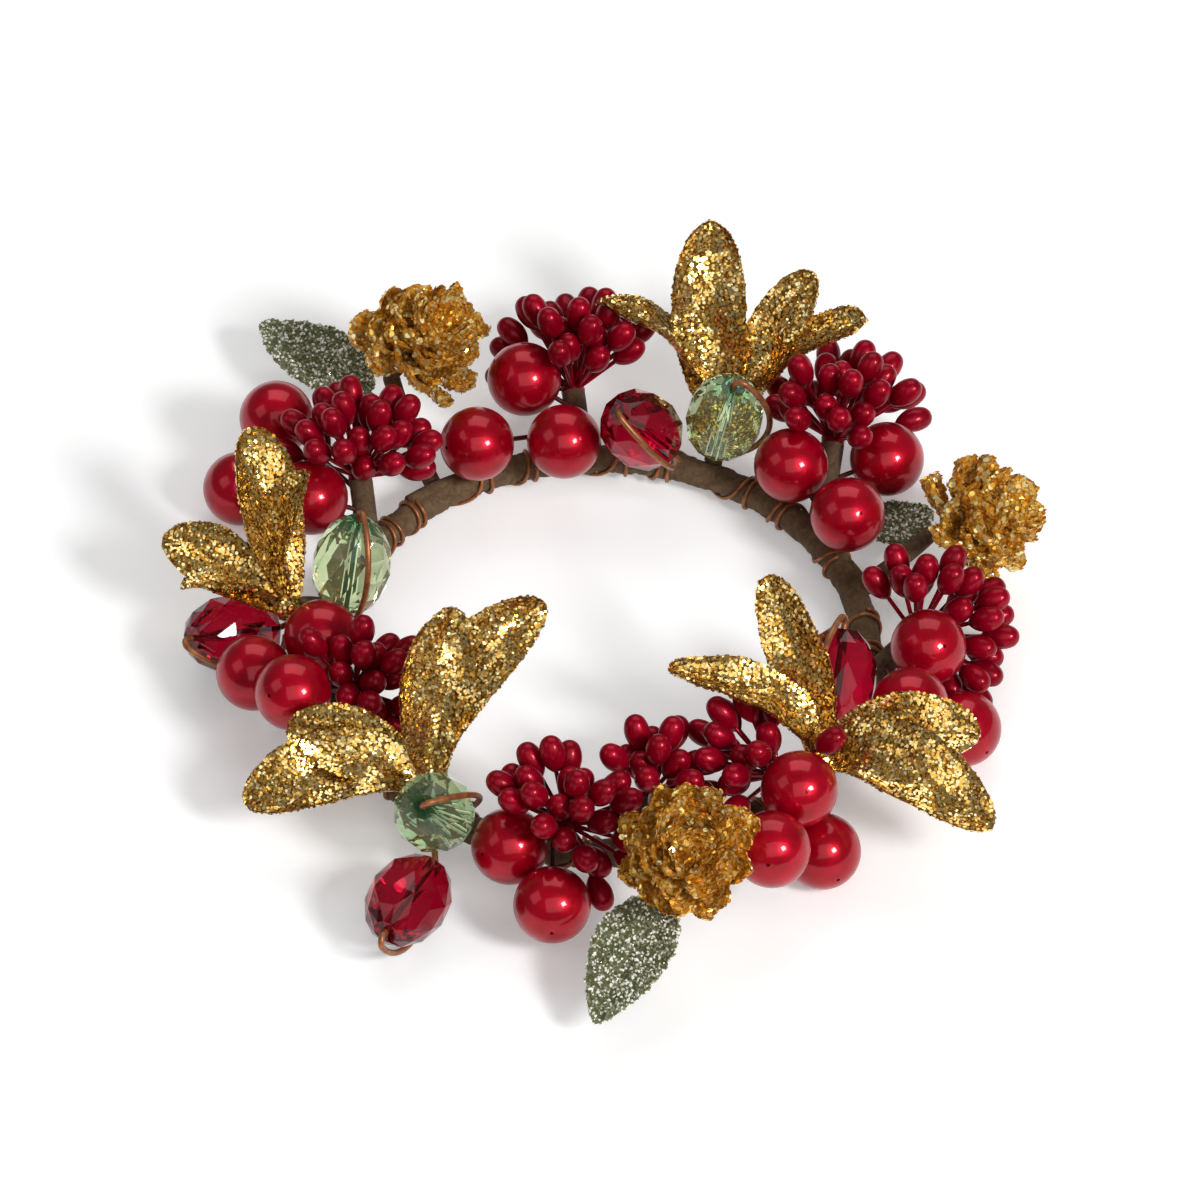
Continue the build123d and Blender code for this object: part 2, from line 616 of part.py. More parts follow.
def pip(base, way, reach):
    """One thread and teardrop, turned about its own line."""
    swell = PIP_RADIUS - THREAD_RADIUS
    sweep_radius = (swell ** 2 + PIP_TAIL ** 2) / (2 * swell)
    middle = PIP_RADIUS - sweep_radius
    shoulder = radians(PIP_SHOULDER)
    neck_turn = acos((THREAD_RADIUS - middle) / sweep_radius)
    arc_turn = (shoulder - neck_turn) / 2
    neck = (THREAD_RADIUS, 0, reach - PIP_TAIL)
    waist = (middle + sweep_radius * cos(arc_turn), 0, reach + sweep_radius * sin(arc_turn))
    top = (middle + sweep_radius * cos(shoulder), 0, reach + sweep_radius * sin(shoulder))
    hub = reach - middle * sin(shoulder) / cos(shoulder)
    nose_radius = top[0] / cos(shoulder)
    nose_turn = (shoulder + pi / 2) / 2
    nose = (nose_radius * cos(nose_turn), 0, hub + nose_radius * sin(nose_turn))
    end = (0, 0, hub + nose_radius)
    start = 0.88 * KNOB_RADIUS
    outline = [
        Line((0, 0, start), (THREAD_RADIUS, 0, start)),
        Line((THREAD_RADIUS, 0, start), neck),
        ThreePointArc(neck, waist, top),
        ThreePointArc(top, nose, end),
        Line(end, (0, 0, start)),
    ]
    return Plane(origin=base, z_dir=way) * revolve(make_face(Wire(outline)), Axis.Z)


def bunch(sprig, rays):
    base = spot(sprig["foot"], sprig["head"])
    knob = faceted_ball(base, KNOB_RADIUS)
    return knob.fuse(*[pip(base, way, reach) for way, reach in rays])


# Binding wire

def turn_angles():
    """Hoop angles at which the wire crosses the top, spread over the gaps between the feet."""
    sprigs = list(BERRY_SPRIGS.values()) + list(LILY_SPRIGS.values()) + list(CONE_SPRIGS.values())
    feet = sorted(sprig["foot"] % 360 for sprig in sprigs)
    angles = []
    for foot, after in zip(feet, feet[1:] + [feet[0] + 360]):
        count = max(1, round((after - foot) / TURN_STEP))
        angles += [foot + (after - foot) * (step + 1) / (count + 1) for step in range(count)]
    return angles


def round_hoop(angle, turn):
    """Point on the wire's orbit round the hoop; turn 0 is outside, 90 on top."""
    radius = HOOP_RADIUS + BINDING_ORBIT * cos(radians(turn))
    height = HOOP_HEIGHT + BINDING_ORBIT * sin(radians(turn))
    return Vector(radius * cos(radians(angle)), radius * sin(radians(angle)), height)


def biarc(start, way, end, end_way):
    """Two arcs that join two points with given directions."""
    span = end - start
    both = way + end_way
    bend = 2 * (1 - way.dot(end_way))
    reach = (sqrt(span.dot(both) ** 2 + bend * span.dot(span)) - span.dot(both)) / bend
    joint = (start + way * reach + end - end_way * reach) * 0.5
    middle = (end - end_way * reach - start - way * reach).normalized()
    return [Edge.make_tangent_arc(start, way, joint), Edge.make_tangent_arc(joint, middle, end)]


def winding_point(angle, gap, share):
    """Point on the binding wire, at a share of its turn from one crossing of the top to the next."""
    lag = WINDING_LAG * sin(2 * pi * share) / (2 * pi)
    return round_hoop(angle + gap * (share - lag), 90 + 360 * share)


def binding_path():
    angles = turn_angles()
    nodes = []
    ways = []
    nudge = 0.005
    for angle, after in zip(angles, angles[1:]):
        last = after == angles[-1]
        for share in (0, 0.25, 0.5, 0.75, 1.0) if last else (0, 0.25, 0.5, 0.75):
            nodes.append(winding_point(angle, after - angle, share))
            before = winding_point(angle, after - angle, share - nudge)
            ways.append((winding_point(angle, after - angle, share + nudge) - before).normalized())
    edges = [Edge.make_line(nodes[0] - ways[0] * (2 * BINDING_RADIUS), nodes[0])]
    for start, way, end, end_way in zip(nodes, ways, nodes[1:], ways[1:]):
        edges += biarc(start, way, end, end_way)
    edges.append(Edge.make_line(nodes[-1], nodes[-1] + ways[-1] * (2 * BINDING_RADIUS)))
    return edges


def self_gap(edges, radius):
    """Least gap between parts of a tube that are more than half a turn apart."""
    points = [edge @ (step / 6) for edge in edges for step in range(6)]
    places = [(p.X, p.Y, p.Z) for p in points]
    apart = 24
    least = min(
        (a[0] - b[0]) ** 2 + (a[1] - b[1]) ** 2 + (a[2] - b[2]) ** 2
        for i, a in enumerate(places) for b in places[i + apart:i + 12 * apart]
    )
    return sqrt(least) - 2 * radius


# All the pieces, one file each

def pieces():
    edges = binding_path()
    print("binding turns", len(turn_angles()) - 1, "least gap", round(self_gap(edges, BINDING_RADIUS), 2))
    made = {
        "hoop_core_wire": [hoop_core()],
        "hoop_paper_wrap": [hoop_wrap()],
        "binding_wire": [tube(Wire(edges), BINDING_RADIUS)],
    }
    rays = place_pips()
    for name, sprig in BERRY_SPRIGS.items():
        print(name, "pips", len(rays[name]))
        made["stalk_" + name] = [capped_stalk(sprig, BERRY_STALK_RADIUS, KNOB_RADIUS)]
        made["pip_bunch_" + name] = [bunch(sprig, rays[name])]
        if sprig["berries"]:
            count = range(len(sprig["berries"]))
            made["berries_" + name] = [berry(sprig, number) for number in count]
            made["berry_wires_" + name] = [berry_wire(sprig, number) for number in count]
    green_wires = []
    red_wires = []
    for name, sprig in LILY_SPRIGS.items():
        made["lily_" + name] = [lily(sprig)]
        made["lily_stalk_" + name] = [capped_stalk(sprig, LILY_STALK_RADIUS, LILY_COLLAR)]
        if "green" in sprig:
            made["green_bead_" + name] = [faceted_bead(sprig, "green")]
            green_wires.append(bead_wire(sprig, "green"))
        if "red" in sprig:
            made["red_bead_" + name] = [faceted_bead(sprig, "red")]
            red_wires.append(bead_wire(sprig, "red"))
    made["green_bead_wires"] = green_wires
    made["red_bead_wires"] = red_wires
    for name, sprig in CONE_SPRIGS.items():
        made["cone_" + name] = cone_layers(sprig)
        made["cone_stalk_" + name] = [cone_stalk(sprig)]
        made["leaf_" + name] = [leaf(sprig)]
    return made


def main():
    os.makedirs("parts", exist_ok=True)
    for name, shapes in pieces().items():
        solids = [solid for shape in shapes for solid in shape.solids()]
        export_step(Compound(children=solids, label=name), "parts/" + name + ".step")


if __name__ == "__main__":
    main()
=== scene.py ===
import json
import math

import bpy
import numpy as np
from mathutils import Matrix, Vector, noise

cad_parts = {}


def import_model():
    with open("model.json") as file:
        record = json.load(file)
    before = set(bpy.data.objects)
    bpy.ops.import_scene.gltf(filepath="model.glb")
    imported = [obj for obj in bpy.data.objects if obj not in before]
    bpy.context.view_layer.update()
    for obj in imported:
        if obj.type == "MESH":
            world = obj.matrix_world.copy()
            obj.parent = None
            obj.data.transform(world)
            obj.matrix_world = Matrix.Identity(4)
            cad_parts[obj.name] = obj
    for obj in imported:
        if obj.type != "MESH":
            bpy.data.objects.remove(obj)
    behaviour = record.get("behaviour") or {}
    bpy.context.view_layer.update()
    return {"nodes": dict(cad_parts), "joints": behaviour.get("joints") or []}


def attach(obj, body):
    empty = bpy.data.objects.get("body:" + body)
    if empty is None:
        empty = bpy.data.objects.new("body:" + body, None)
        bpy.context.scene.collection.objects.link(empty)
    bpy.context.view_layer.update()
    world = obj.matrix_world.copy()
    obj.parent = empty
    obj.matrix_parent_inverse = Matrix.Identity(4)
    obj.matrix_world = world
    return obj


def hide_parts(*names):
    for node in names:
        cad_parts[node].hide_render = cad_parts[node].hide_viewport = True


# Looks of a candle ring. Sizes are in millimetres, as in the part's source, and become metres in piece().

MM = 0.001
BODY = "ring"

# Hoop, its paper wrap and the binding wire
HOOP_RADIUS = 42.56
HOOP_HEIGHT = 4.0
WRAP_RADIUS = 2.3
WRAP_PITCH = 6.5
WRAP_ROWS = 1100
WRAP_COLUMNS = 28
WRAP_SUNK = 0.06
WRAP_PROUD = 0.05
LAP_STEP = 0.3
LAP_EDGE = 0.05
BINDING_ORBIT = 2.52
BINDING_RADIUS = 0.33
WINDING_LAG = 0.7
DOUBLE_TURN = 1.5
TURN_STEP = 15.0
TURN_POINTS = 28

# Creases of the wrap: how the noise runs over the strip, and (scale, depth) of each layer of noise
CREASE_ACROSS = 2.2
CREASE_ALONG = 4.0
CREASE_SHIFT = 7.3
CREASES = [(1.4, 0.16), (4.0, 0.1)]

# Stalk ends laid along the hoop under its wrap: (start, end, side that they lie on), in degrees
STALK_ENDS = [(121.0, 134.5, 62.0), (26.0, 16.5, 20.0)]
STALK_END_RADIUS = 1.25
STALK_END_SUNK = 1.2
STALK_END_PROUD = 2.05
STALK_END_POINTS = 15
STALK_END_SIDES = 14

# Lilies: starts and bends are shares of the collar and of a petal's length
LILY_COLLAR = 2.2
PETAL_THICKNESS = 0.5
PETAL_WIDEST = 0.62
PETAL_FOOT = 0.28
PETAL_CUP = 0.28
PETAL_START_OUT = 0.5
PETAL_START_UP = 0.3
PETAL_BEND_OUT = 0.16
PETAL_BEND_UP = 0.42
PETAL_RECURVE = 1.8
RECURVE_START = 0.55
PETAL_BUCKLE = 1.1
BUCKLE_SIZE = 6.0
VEIN_DEPTH = 0.35
VEIN_SHARPNESS = 3.5
PETAL_ROWS = 34
PETAL_COLUMNS = 15
PETAL_CROWDING = 1.25
PETAL_LAST = 0.998

# Ripples of a petal: height, waves across and waves along
EDGE_RIPPLE = (0.34, 5, 7)
LONG_RIPPLE = (0.45, 1.5, 8)
PHASE_RANGE = 6.28

# Webs between petals
WEB_START = 0.02
WEB_NOTCH = 0.3
WEB_BULGE = 0.18
WEB_ROWS = 14
WEB_COLUMNS = 11
WEB_MATCH_ROW = 8

# Cones: scales on a spiral; rim radius, rise from hub to rim and place along the axis, from the top down
CONE_SCALES = 40
CONE_RIM = 11.8
CONE_TOP_RIM = 1.8
CONE_PROFILE = [
    (2.0, 3.5, 12.5), (4.4, 4.2, 11.4), (6.8, 4.4, 9.6), (9.2, 3.8, 7.4), (11.0, 2.8, 4.6), (11.8, 1.5, 2.0),
]
GOLDEN_ANGLE = math.pi * (3 - math.sqrt(5))
CONE_HUB = 0.85
CONE_HEART = (10.5, 3.0)
CONE_STALK_RADIUS = 1.4
BALL_ROWS = 10
BALL_COLUMNS = 16

# Scales: half width and its growth with the rim, outline along the scale, thickness, cup and crumple
LOBE_HALF_WIDTH = 2.9
LOBE_LEAST = 0.62
LOBE_GROWTH = 0.05
SCALE_SHARES = [0.0, 0.12, 0.25, 0.4, 0.55, 0.68, 0.78, 0.86, 0.92, 0.96, 0.985, 1.0]
SCALE_COLUMNS = 9
SCALE_SHORTEST = 0.4
SCALE_FOOT = 0.42
SCALE_WIDEST = 0.76
SCALE_TIP_RUN = 0.243
SCALE_LEAST = 0.05
SCALE_HEEL = 0.3
SCALE_FAN = 1.2
SCALE_BOW = 1.3
CURL_POWER = 5
SCALE_THICKNESS = 0.5
SCALE_THIN = 0.8
SCALE_SWELL = 1.6
SCALE_CUP = 0.62
CUP_DRAW = 0.3
SCALE_CRUMPLE = 1.3
CRUMPLE_SIZE = 2.4
CRUMPLE_LEAN = 0.6

# How the scales differ: ranges, and spreads about zero
LOBE_RANGE = (0.85, 1.1)
REACH_RANGE = (0.9, 1.04)
RISE_RANGE = (0.6, 1.3)
CURL_RANGE = (-0.6, 1.5)
TIER_JITTER = 0.7
SCALE_SWAY = 0.9
SCALE_ROLL = 0.42
TURN_JITTER = 0.09

# Leaves
LEAF_WIDTH = 12.0
LEAF_TEETH = 11
LEAF_TOOTH = 0.55
LEAF_CURVE = 16.0
LEAF_THICKNESS = 0.5
LEAF_ROOT = 0.7
LEAF_END = 0.001
LEAF_NECK = 0.35
LEAF_NECK_END = 0.9
TOOTH_RISE = 0.15
MIDRIB_DEPTH = 0.3
MIDRIB_SHARPNESS = 1.8
SIDE_VEIN_DEPTH = 0.1
SIDE_VEINS = 30
SIDE_VEIN_SLANT = 1.6
LEAF_ROWS_PER_TOOTH = 8
LEAF_COLUMNS = 17
PETIOLE_RADIUS = 0.5
PETIOLE_INSET = 2
PETIOLE_LIFT = 0.4
PETIOLE_STEPS = 12

# Frost granules on the leaves: number to the square millimetre, and sizes
GRAIN_DENSITY = 8.5
GRAIN_SIZES = (0.16, 0.36)
GRAIN_STRETCH = (0.7, 1.3)
GRAIN_LIFT = 0.1

# Glitter
FLAKE_RADIUS = 0.25
FLAKE_TILT = 0.05
FLAKE_COVER = 1.1
FLAKE_LIFT = 0.12
FLAKE_SIZES = (0.65, 1.3)
FLAKE_LIFTS = (0.4, 1.6)
FLAKE_CORNERS = 6
HEXAGON_AREA = 2.6
LOOSE_SHARE = 0.16
LOOSE_TILT = 4.0
CONE_FLAKE_RADIUS = 0.38
CONE_FLAKE_TILT = 0.19

# Feet of the berry sprigs on the hoop, in degrees from +X
BERRY_FEET = [94.0, 35.0, 350.0, -45.0, -82.0, -103.0, 190.0, 150.0]

# Lily sprigs: places are (outward, along the hoop, up) from the foot.
# Petals are (tip place, full width, way the inner face looks), webs (petal, petal, share that is joined).
LILIES = {
    "back": dict(
        foot=65.0, head=(9.0, 2.0, 3.0),
        petals=[((25.0, 11.5, 30.5), 12.0, (-0.7, -0.3, 0.7)), ((11.0, 24.5, 21.5), 9.0, (0.4, 0.0, 0.9)),
                ((27.5, -5.0, 24.0), 9.5, (-0.7, 0.2, 0.7)), ((24.5, -15.5, 22.0), 9.0, (-0.1, 0.3, 1.0))],
        webs=[(0, 1, 0.5), (0, 2, 0.5), (2, 3, 0.5)],
    ),
    "left": dict(
        foot=168.0, head=(6.0, 8.5, 8.5),
        petals=[((15.0, -10.5, 28.5), 10.5, (-0.5, 0.5, 0.7)), ((7.0, -4.0, 27.0), 8.0, (0.7, 0.5, 0.5)),
                ((27.0, 3.5, 16.0), 10.0, (-0.3, 0.4, 0.9)), ((22.5, 10.5, 14.0), 8.0, (0.0, -0.4, 0.9))],
        webs=[(0, 1, 0.5), (0, 2, 0.45), (2, 3, 0.5), (3, 1, 0.72)],
    ),
    "front": dict(
        foot=232.0, head=(1.5, 1.0, 7.5),
        petals=[((10.5, -20.0, 15.0), 11.0, (0.4, 0.4, 0.8)), ((22.0, -19.5, 7.5), 11.5, (0.3, 0.3, 0.9)),
                ((-13.5, -5.0, 31.0), 11.5, (0.4, 0.7, 0.6)), ((-23.0, 4.5, 31.0), 11.5, (0.7, 0.3, 0.6))],
        webs=[(0, 1, 0.54), (2, 3, 0.52)],
    ),
    "right": dict(
        foot=333.0, head=(2.0, -11.5, 8.0),
        petals=[((-14.0, -0.5, 31.5), 9.5, (0.0, -0.8, 0.6)), ((-22.5, -15.5, 22.5), 7.5, (0.2, -0.1, 1.0)),
                ((25.0, -3.0, 18.0), 11.5, (0.1, -0.5, 0.9)), ((33.0, -15.0, 12.0), 11.5, (0.1, -0.4, 0.9))],
        webs=[(2, 3, 0.55)],
    ),
}

# Cone sprigs: the cone stands on the head of its stalk, and a leaf grows from the stalk
CONES = {
    "back_left": dict(
        foot=127.0, head=(20.0, -5.0, 8.0), bow=-0.4, axis=(-0.39, -0.33, 0.86),
        leaf=(46.0, 2.5, 4.0), blade=24.0,
    ),
    "right": dict(
        foot=18.0, head=(14.0, 3.5, 5.0), bow=-0.2, axis=(0.7, -0.43, 0.57),
        leaf=(11.0, 16.0, 0.5), blade=11.0,
    ),
    "front": dict(
        foot=-68.0, head=(12.5, -8.0, 13.5), bow=0.3, axis=(0.6, -0.24, 0.76),
        leaf=(30.5, -30.0, 2.0), blade=24.0,
    ),
}

# Beads: colours, the dye's reach from the bore, and the light that passes to the floor
GREEN_GLASS = (0.70, 0.86, 0.50)
GREEN_DYE = (0.03, 0.36, 0.13)
RED_GLASS = (0.44, 0.003, 0.024)
RED_DYE = (0.25, 0.0, 0.012)
DYE_SPREAD = 4.2
DYE_START = 0.8
CLOUD_LIFT = 1.15
PASSED_LIGHT = 0.2
PASSED_COLOUR = 0.14
LINING_LENGTH = 16.2
LINING_RADIUS = 0.55
LINING_STEPS = 8
LINING_SIDES = 16

# Shuffles each flake's shine against its tone
SHINE_SHUFFLE = 7.3

# Seeds of the random draws
LILY_SEED = 11
CONE_SEED = 31
LEAF_SEED = 51

# Lamps: way to the lamp, distance, width and height in metres, and power in watts
LAMPS = {
    "key": ((0.55, -0.53, 0.64), 1.5, 0.32, 0.32, 15),
    "panel": ((0.12, -0.68, 0.73), 1.6, 1.5, 1.2, 6.5),
    "fill": ((-0.74, -0.16, 0.64), 1.6, 0.8, 0.8, 2.0),
    "back": ((0.05, 0.56, 0.83), 1.6, 1.4, 1.1, 8.0),
}
WORLD_STRENGTH = 0.12

# Floor: half its side in metres, and the light that it adds to its shadows
FLOOR_HALF = 6.0
FLOOR_LIFT = 0.26

# Camera of the photograph: the aim's shift from the hoop's centre is in pixels
VIEW_ELEVATION = 47.0
VIEW_DISTANCE = 1.4
PIXELS_PER_METRE = 6300.0
AIM_RIGHT = 1
AIM_UP = 52
IMAGE_WIDTH = 1200
SENSOR = 36.0
CLIP_START = 0.05
CLIP_END = 20


# Places

def unit(v):
    return v / np.linalg.norm(v)


def on_hoop(angle):
    a = math.radians(angle)
    return np.array((HOOP_RADIUS * math.cos(a), HOOP_RADIUS * math.sin(a), HOOP_HEIGHT))


def local_axes(foot):
    a = math.radians(foot)
    out = np.array((math.cos(a), math.sin(a), 0.0))
    along = np.array((-math.sin(a), math.cos(a), 0.0))
    return out, along, np.array((0.0, 0.0, 1.0))


def spot(foot, place):
    return on_hoop(foot) + sum(axis * value for axis, value in zip(local_axes(foot), place))


def heading(foot, way):
    return unit(sum(axis * value for axis, value in zip(local_axes(foot), way)))


def square_to(way, rough):
    return unit(rough - way * np.dot(rough, way))


# Mesh building

class Build:
    """Collects vertices and faces, with a material number for each face."""

    def __init__(self):
        self.verts = []
        self.faces = []
        self.slots = []
        self.count = 0

    def add(self, verts, faces, slot=0):
        verts = np.asarray(verts, float).reshape(-1, 3)
        self.verts.append(verts)
        self.faces += [tuple(int(i) + self.count for i in face) for face in faces]
        self.slots += [slot] * len(faces)
        self.count += len(verts)

    def points(self):
        return np.vstack(self.verts)


def grid_faces(rows, columns, wrap_columns=False, wrap_rows=False):
    faces = []
    for r in range(rows if wrap_rows else rows - 1):
        for c in range(columns if wrap_columns else columns - 1):
            up = (r + 1) % rows
            side = (c + 1) % columns
            faces.append((r * columns + c, r * columns + side, up * columns + side, up * columns + c))
    return faces


def sheet(build, back, front):
    """A closed thin sheet from two grids of points, with its faces outward."""
    along = front[1:, :-1] - front[:-1, :-1]
    across = front[:-1, 1:] - front[:-1, :-1]
    if np.sum(np.cross(across, along) * (front - back)[:-1, :-1]) < 0:
        back, front = back[:, ::-1], front[:, ::-1]
    rows, columns = back.shape[:2]
    n = rows * columns
    faces = [face[::-1] for face in grid_faces(rows, columns)]
    faces += [tuple(i + n for i in face) for face in grid_faces(rows, columns)]
    rim = list(range(columns))
    rim += [r * columns + columns - 1 for r in range(1, rows)]
    rim += [(rows - 1) * columns + c for c in range(columns - 2, -1, -1)]
    rim += [r * columns for r in range(rows - 2, 0, -1)]
    for a, b in zip(rim, rim[1:] + rim[:1]):
        faces.append((a, b, b + n, a + n))
    build.add(np.vstack([back.reshape(-1, 3), front.reshape(-1, 3)]), faces)


def piece(name, build, materials, node=None, body=BODY, smooth=True):
    mesh = bpy.data.meshes.new(name)
    mesh.from_pydata((build.points() * MM).tolist(), [], build.faces)
    for material in materials:
        mesh.materials.append(material)
    mesh.polygons.foreach_set("material_index", build.slots)
    mesh.polygons.foreach_set("use_smooth", [smooth] * len(mesh.polygons))
    mesh.update()
    made = bpy.data.objects.new(name, mesh)
    bpy.context.scene.collection.objects.link(made)
    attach(made, body)
    if node:
        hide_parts(node)
    return made


def scatter(points, faces, density, rng):
    """Points and normals spread evenly over a mesh's faces."""
    tris = []
    for face in faces:
        for k in range(1, len(face) - 1):
            tris.append((face[0], face[k], face[k + 1]))
    tris = np.array(tris)
    a, b, c = points[tris[:, 0]], points[tris[:, 1]], points[tris[:, 2]]
    cross = np.cross(b - a, c - a)
    twice = np.linalg.norm(cross, axis=1)
    count = int(density * twice.sum() / 2)
    chosen = np.searchsorted(np.cumsum(twice), rng.random(count) * twice.sum())
    chosen = np.minimum(chosen, len(tris) - 1)
    u, v = rng.random(count), rng.random(count)
    flip = u + v > 1
    u[flip], v[flip] = 1 - u[flip], 1 - v[flip]
    place = a[chosen] + (b - a)[chosen] * u[:, None] + (c - a)[chosen] * v[:, None]
    return place, cross[chosen] / np.maximum(twice[chosen], 1e-12)[:, None]


def add_flakes(build, place, normal, radius, tilt, lift, rng, slot):
    """Flat six-sided glitter flakes, each tilted at random."""
    count = len(place)
    loose = np.where(rng.random(count) < LOOSE_SHARE, LOOSE_TILT, 1.0)
    way = normal + rng.normal(0, tilt, (count, 3)) * loose[:, None]
    way /= np.linalg.norm(way, axis=1)[:, None]
    rough = rng.normal(0, 1, (count, 3))
    side = np.cross(way, rough)
    side /= np.linalg.norm(side, axis=1)[:, None]
    over = np.cross(way, side)
    size = radius * rng.uniform(*FLAKE_SIZES, count)
    centre = place + normal * (lift * rng.uniform(*FLAKE_LIFTS, count))[:, None]
    corners = []
    for k in range(FLAKE_CORNERS):
        turn = 2 * math.pi * k / FLAKE_CORNERS
        corners.append(centre + (side * math.cos(turn) + over * math.sin(turn)) * size[:, None])
    verts = np.stack(corners, axis=1).reshape(-1, 3)
    faces = np.arange(count * FLAKE_CORNERS).reshape(-1, FLAKE_CORNERS)
    build.add(verts, faces.tolist(), slot)


def glitter(build, radius, tilt, rng, slot=1):
    """Covers what is built so far with flakes."""
    density = FLAKE_COVER / (HEXAGON_AREA * radius ** 2)
    place, normal = scatter(build.points(), build.faces, density, rng)
    add_flakes(build, place, normal, radius, tilt, FLAKE_LIFT, rng, slot)


def tube(build, line, radius, sides=10):
    """A tube round a line of points, with closed ends."""
    line = np.asarray(line, float)
    run = np.gradient(line, axis=0)
    run /= np.linalg.norm(run, axis=1)[:, None]
    side = square_to(run[0], np.array((0.31, 0.52, 0.8)))
    rings = []
    for point, way in zip(line, run):
        side = square_to(way, side)
        over = np.cross(way, side)
        for k in range(sides):
            turn = 2 * math.pi * k / sides
            rings.append(point + radius * (side * math.cos(turn) + over * math.sin(turn)))
    faces = grid_faces(len(line), sides, wrap_columns=True)
    faces.append(tuple(range(sides))[::-1])
    faces.append(tuple((len(line) - 1) * sides + k for k in range(sides)))
    build.add(rings, faces)


# Materials

def new_material(name):
    material = bpy.data.materials.new(name)
    material.use_nodes = True
    nodes = material.node_tree.nodes
    nodes.clear()
    output = nodes.new("ShaderNodeOutputMaterial")
    shader = nodes.new("ShaderNodeBsdfPrincipled")
    material.node_tree.links.new(shader.outputs["BSDF"], output.inputs["Surface"])
    return material, shader


def node(material, kind, **values):
    made = material.node_tree.nodes.new(kind)
    for key, value in values.items():
        setattr(made, key, value)
    return made


def link(material, source, target):
    material.node_tree.links.new(source, target)


def texture(material, kind, scale):
    """A procedural texture on object coordinates; scale is in features per metre."""
    coords = node(material, "ShaderNodeTexCoord")
    made = node(material, kind)
    made.inputs["Scale"].default_value = scale
    link(material, coords.outputs["Object"], made.inputs["Vector"])
    return made


def ramp(material, source, stops):
    made = node(material, "ShaderNodeValToRGB")
    band = made.color_ramp
    while len(band.elements) < len(stops):
        band.elements.new(0.5)
    for element, (place, colour) in zip(band.elements, stops):
        element.position = place
        element.color = (*colour, 1.0)
    link(material, source, made.inputs["Fac"])
    return made


def bump(material, source, shader, strength, distance):
    made = node(material, "ShaderNodeBump")
    made.inputs["Strength"].default_value = strength
    made.inputs["Distance"].default_value = distance
    link(material, source, made.inputs["Height"])
    link(material, made.outputs["Normal"], shader.inputs["Normal"])


def lacquer(name, deep, mid, speck, metallic, roughness, coat):
    """Pearly lacquer with faint clouds and tiny specks, under a clear coat."""
    material, shader = new_material(name)
    cloud = texture(material, "ShaderNodeTexNoise", 260)
    cloud.inputs["Detail"].default_value = 3
    tones = ramp(material, cloud.outputs["Fac"], [(0.35, deep), (0.7, mid)])
    dots = texture(material, "ShaderNodeTexVoronoi", 900)
    spots = ramp(material, dots.outputs["Distance"], [(0.03, (1, 1, 1)), (0.08, (0, 0, 0))])
    mix = node(material, "ShaderNodeMixRGB")
    mix.inputs["Color2"].default_value = (*speck, 1)
    link(material, spots.outputs["Color"], mix.inputs["Fac"])
    link(material, tones.outputs["Color"], mix.inputs["Color1"])
    link(material, mix.outputs["Color"], shader.inputs["Base Color"])
    shader.inputs["Metallic"].default_value = metallic
    shader.inputs["Roughness"].default_value = roughness
    shader.inputs["Specular IOR Level"].default_value = 0.1
    shader.inputs["Coat Weight"].default_value = coat
    shader.inputs["Coat Roughness"].default_value = 0.06
    fine = texture(material, "ShaderNodeTexNoise", 700)
    bump(material, fine.outputs["Fac"], shader, 0.12, 0.0002)
    return material


def gold_flake(name, tones, metallic, smoothest, roughest):
    """Foil flakes, each with its own tone and shine."""
    material, shader = new_material(name)
    island = node(material, "ShaderNodeNewGeometry")
    colours = ramp(material, island.outputs["Random Per Island"], tones)
    link(material, colours.outputs["Color"], shader.inputs["Base Color"])
    spread = node(material, "ShaderNodeMath", operation="MULTIPLY")
    spread.inputs[1].default_value = SHINE_SHUFFLE
    link(material, island.outputs["Random Per Island"], spread.inputs[0])
    rest = node(material, "ShaderNodeMath", operation="FRACT")
    link(material, spread.outputs["Value"], rest.inputs[0])
    shine = node(material, "ShaderNodeMapRange")
    shine.inputs["To Min"].default_value = smoothest
    shine.inputs["To Max"].default_value = roughest
    link(material, rest.outputs["Value"], shine.inputs["Value"])
    link(material, shine.outputs["Result"], shader.inputs["Roughness"])
    shader.inputs["Metallic"].default_value = metallic
    return material


def gold_sheet(name, dark, light, metallic):
    """Gold film between the flakes."""
    material, shader = new_material(name)
    cells = texture(material, "ShaderNodeTexVoronoi", 2300)
    tones = ramp(material, cells.outputs["Color"], [(0.2, dark), (0.9, light)])
    link(material, tones.outputs["Color"], shader.inputs["Base Color"])
    shader.inputs["Metallic"].default_value = metallic
    shader.inputs["Roughness"].default_value = 0.42
    bump(material, cells.outputs["Distance"], shader, 0.8, 0.0003)
    return material


def paper(name, dark, light, scale):
    """Crumpled brown paper with fibres."""
    material, shader = new_material(name)
    creases = texture(material, "ShaderNodeTexNoise", scale)
    creases.inputs["Detail"].default_value = 8
    creases.inputs["Roughness"].default_value = 0.7
    creases.inputs["Distortion"].default_value = 0.6
    tones = ramp(material, creases.outputs["Fac"], [(0.3, dark), (0.72, light)])
    link(material, tones.outputs["Color"], shader.inputs["Base Color"])
    shader.inputs["Roughness"].default_value = 0.8
    bump(material, creases.outputs["Fac"], shader, 0.7, 0.0004)
    return material


def wire_metal(name, dark, light, metallic, roughness):
    material, shader = new_material(name)
    streaks = texture(material, "ShaderNodeTexNoise", 900)
    streaks.inputs["Detail"].default_value = 4
    tones = ramp(material, streaks.outputs["Fac"], [(0.3, dark), (0.7, light)])
    link(material, tones.outputs["Color"], shader.inputs["Base Color"])
    shader.inputs["Metallic"].default_value = metallic
    shader.inputs["Roughness"].default_value = roughness
    return material


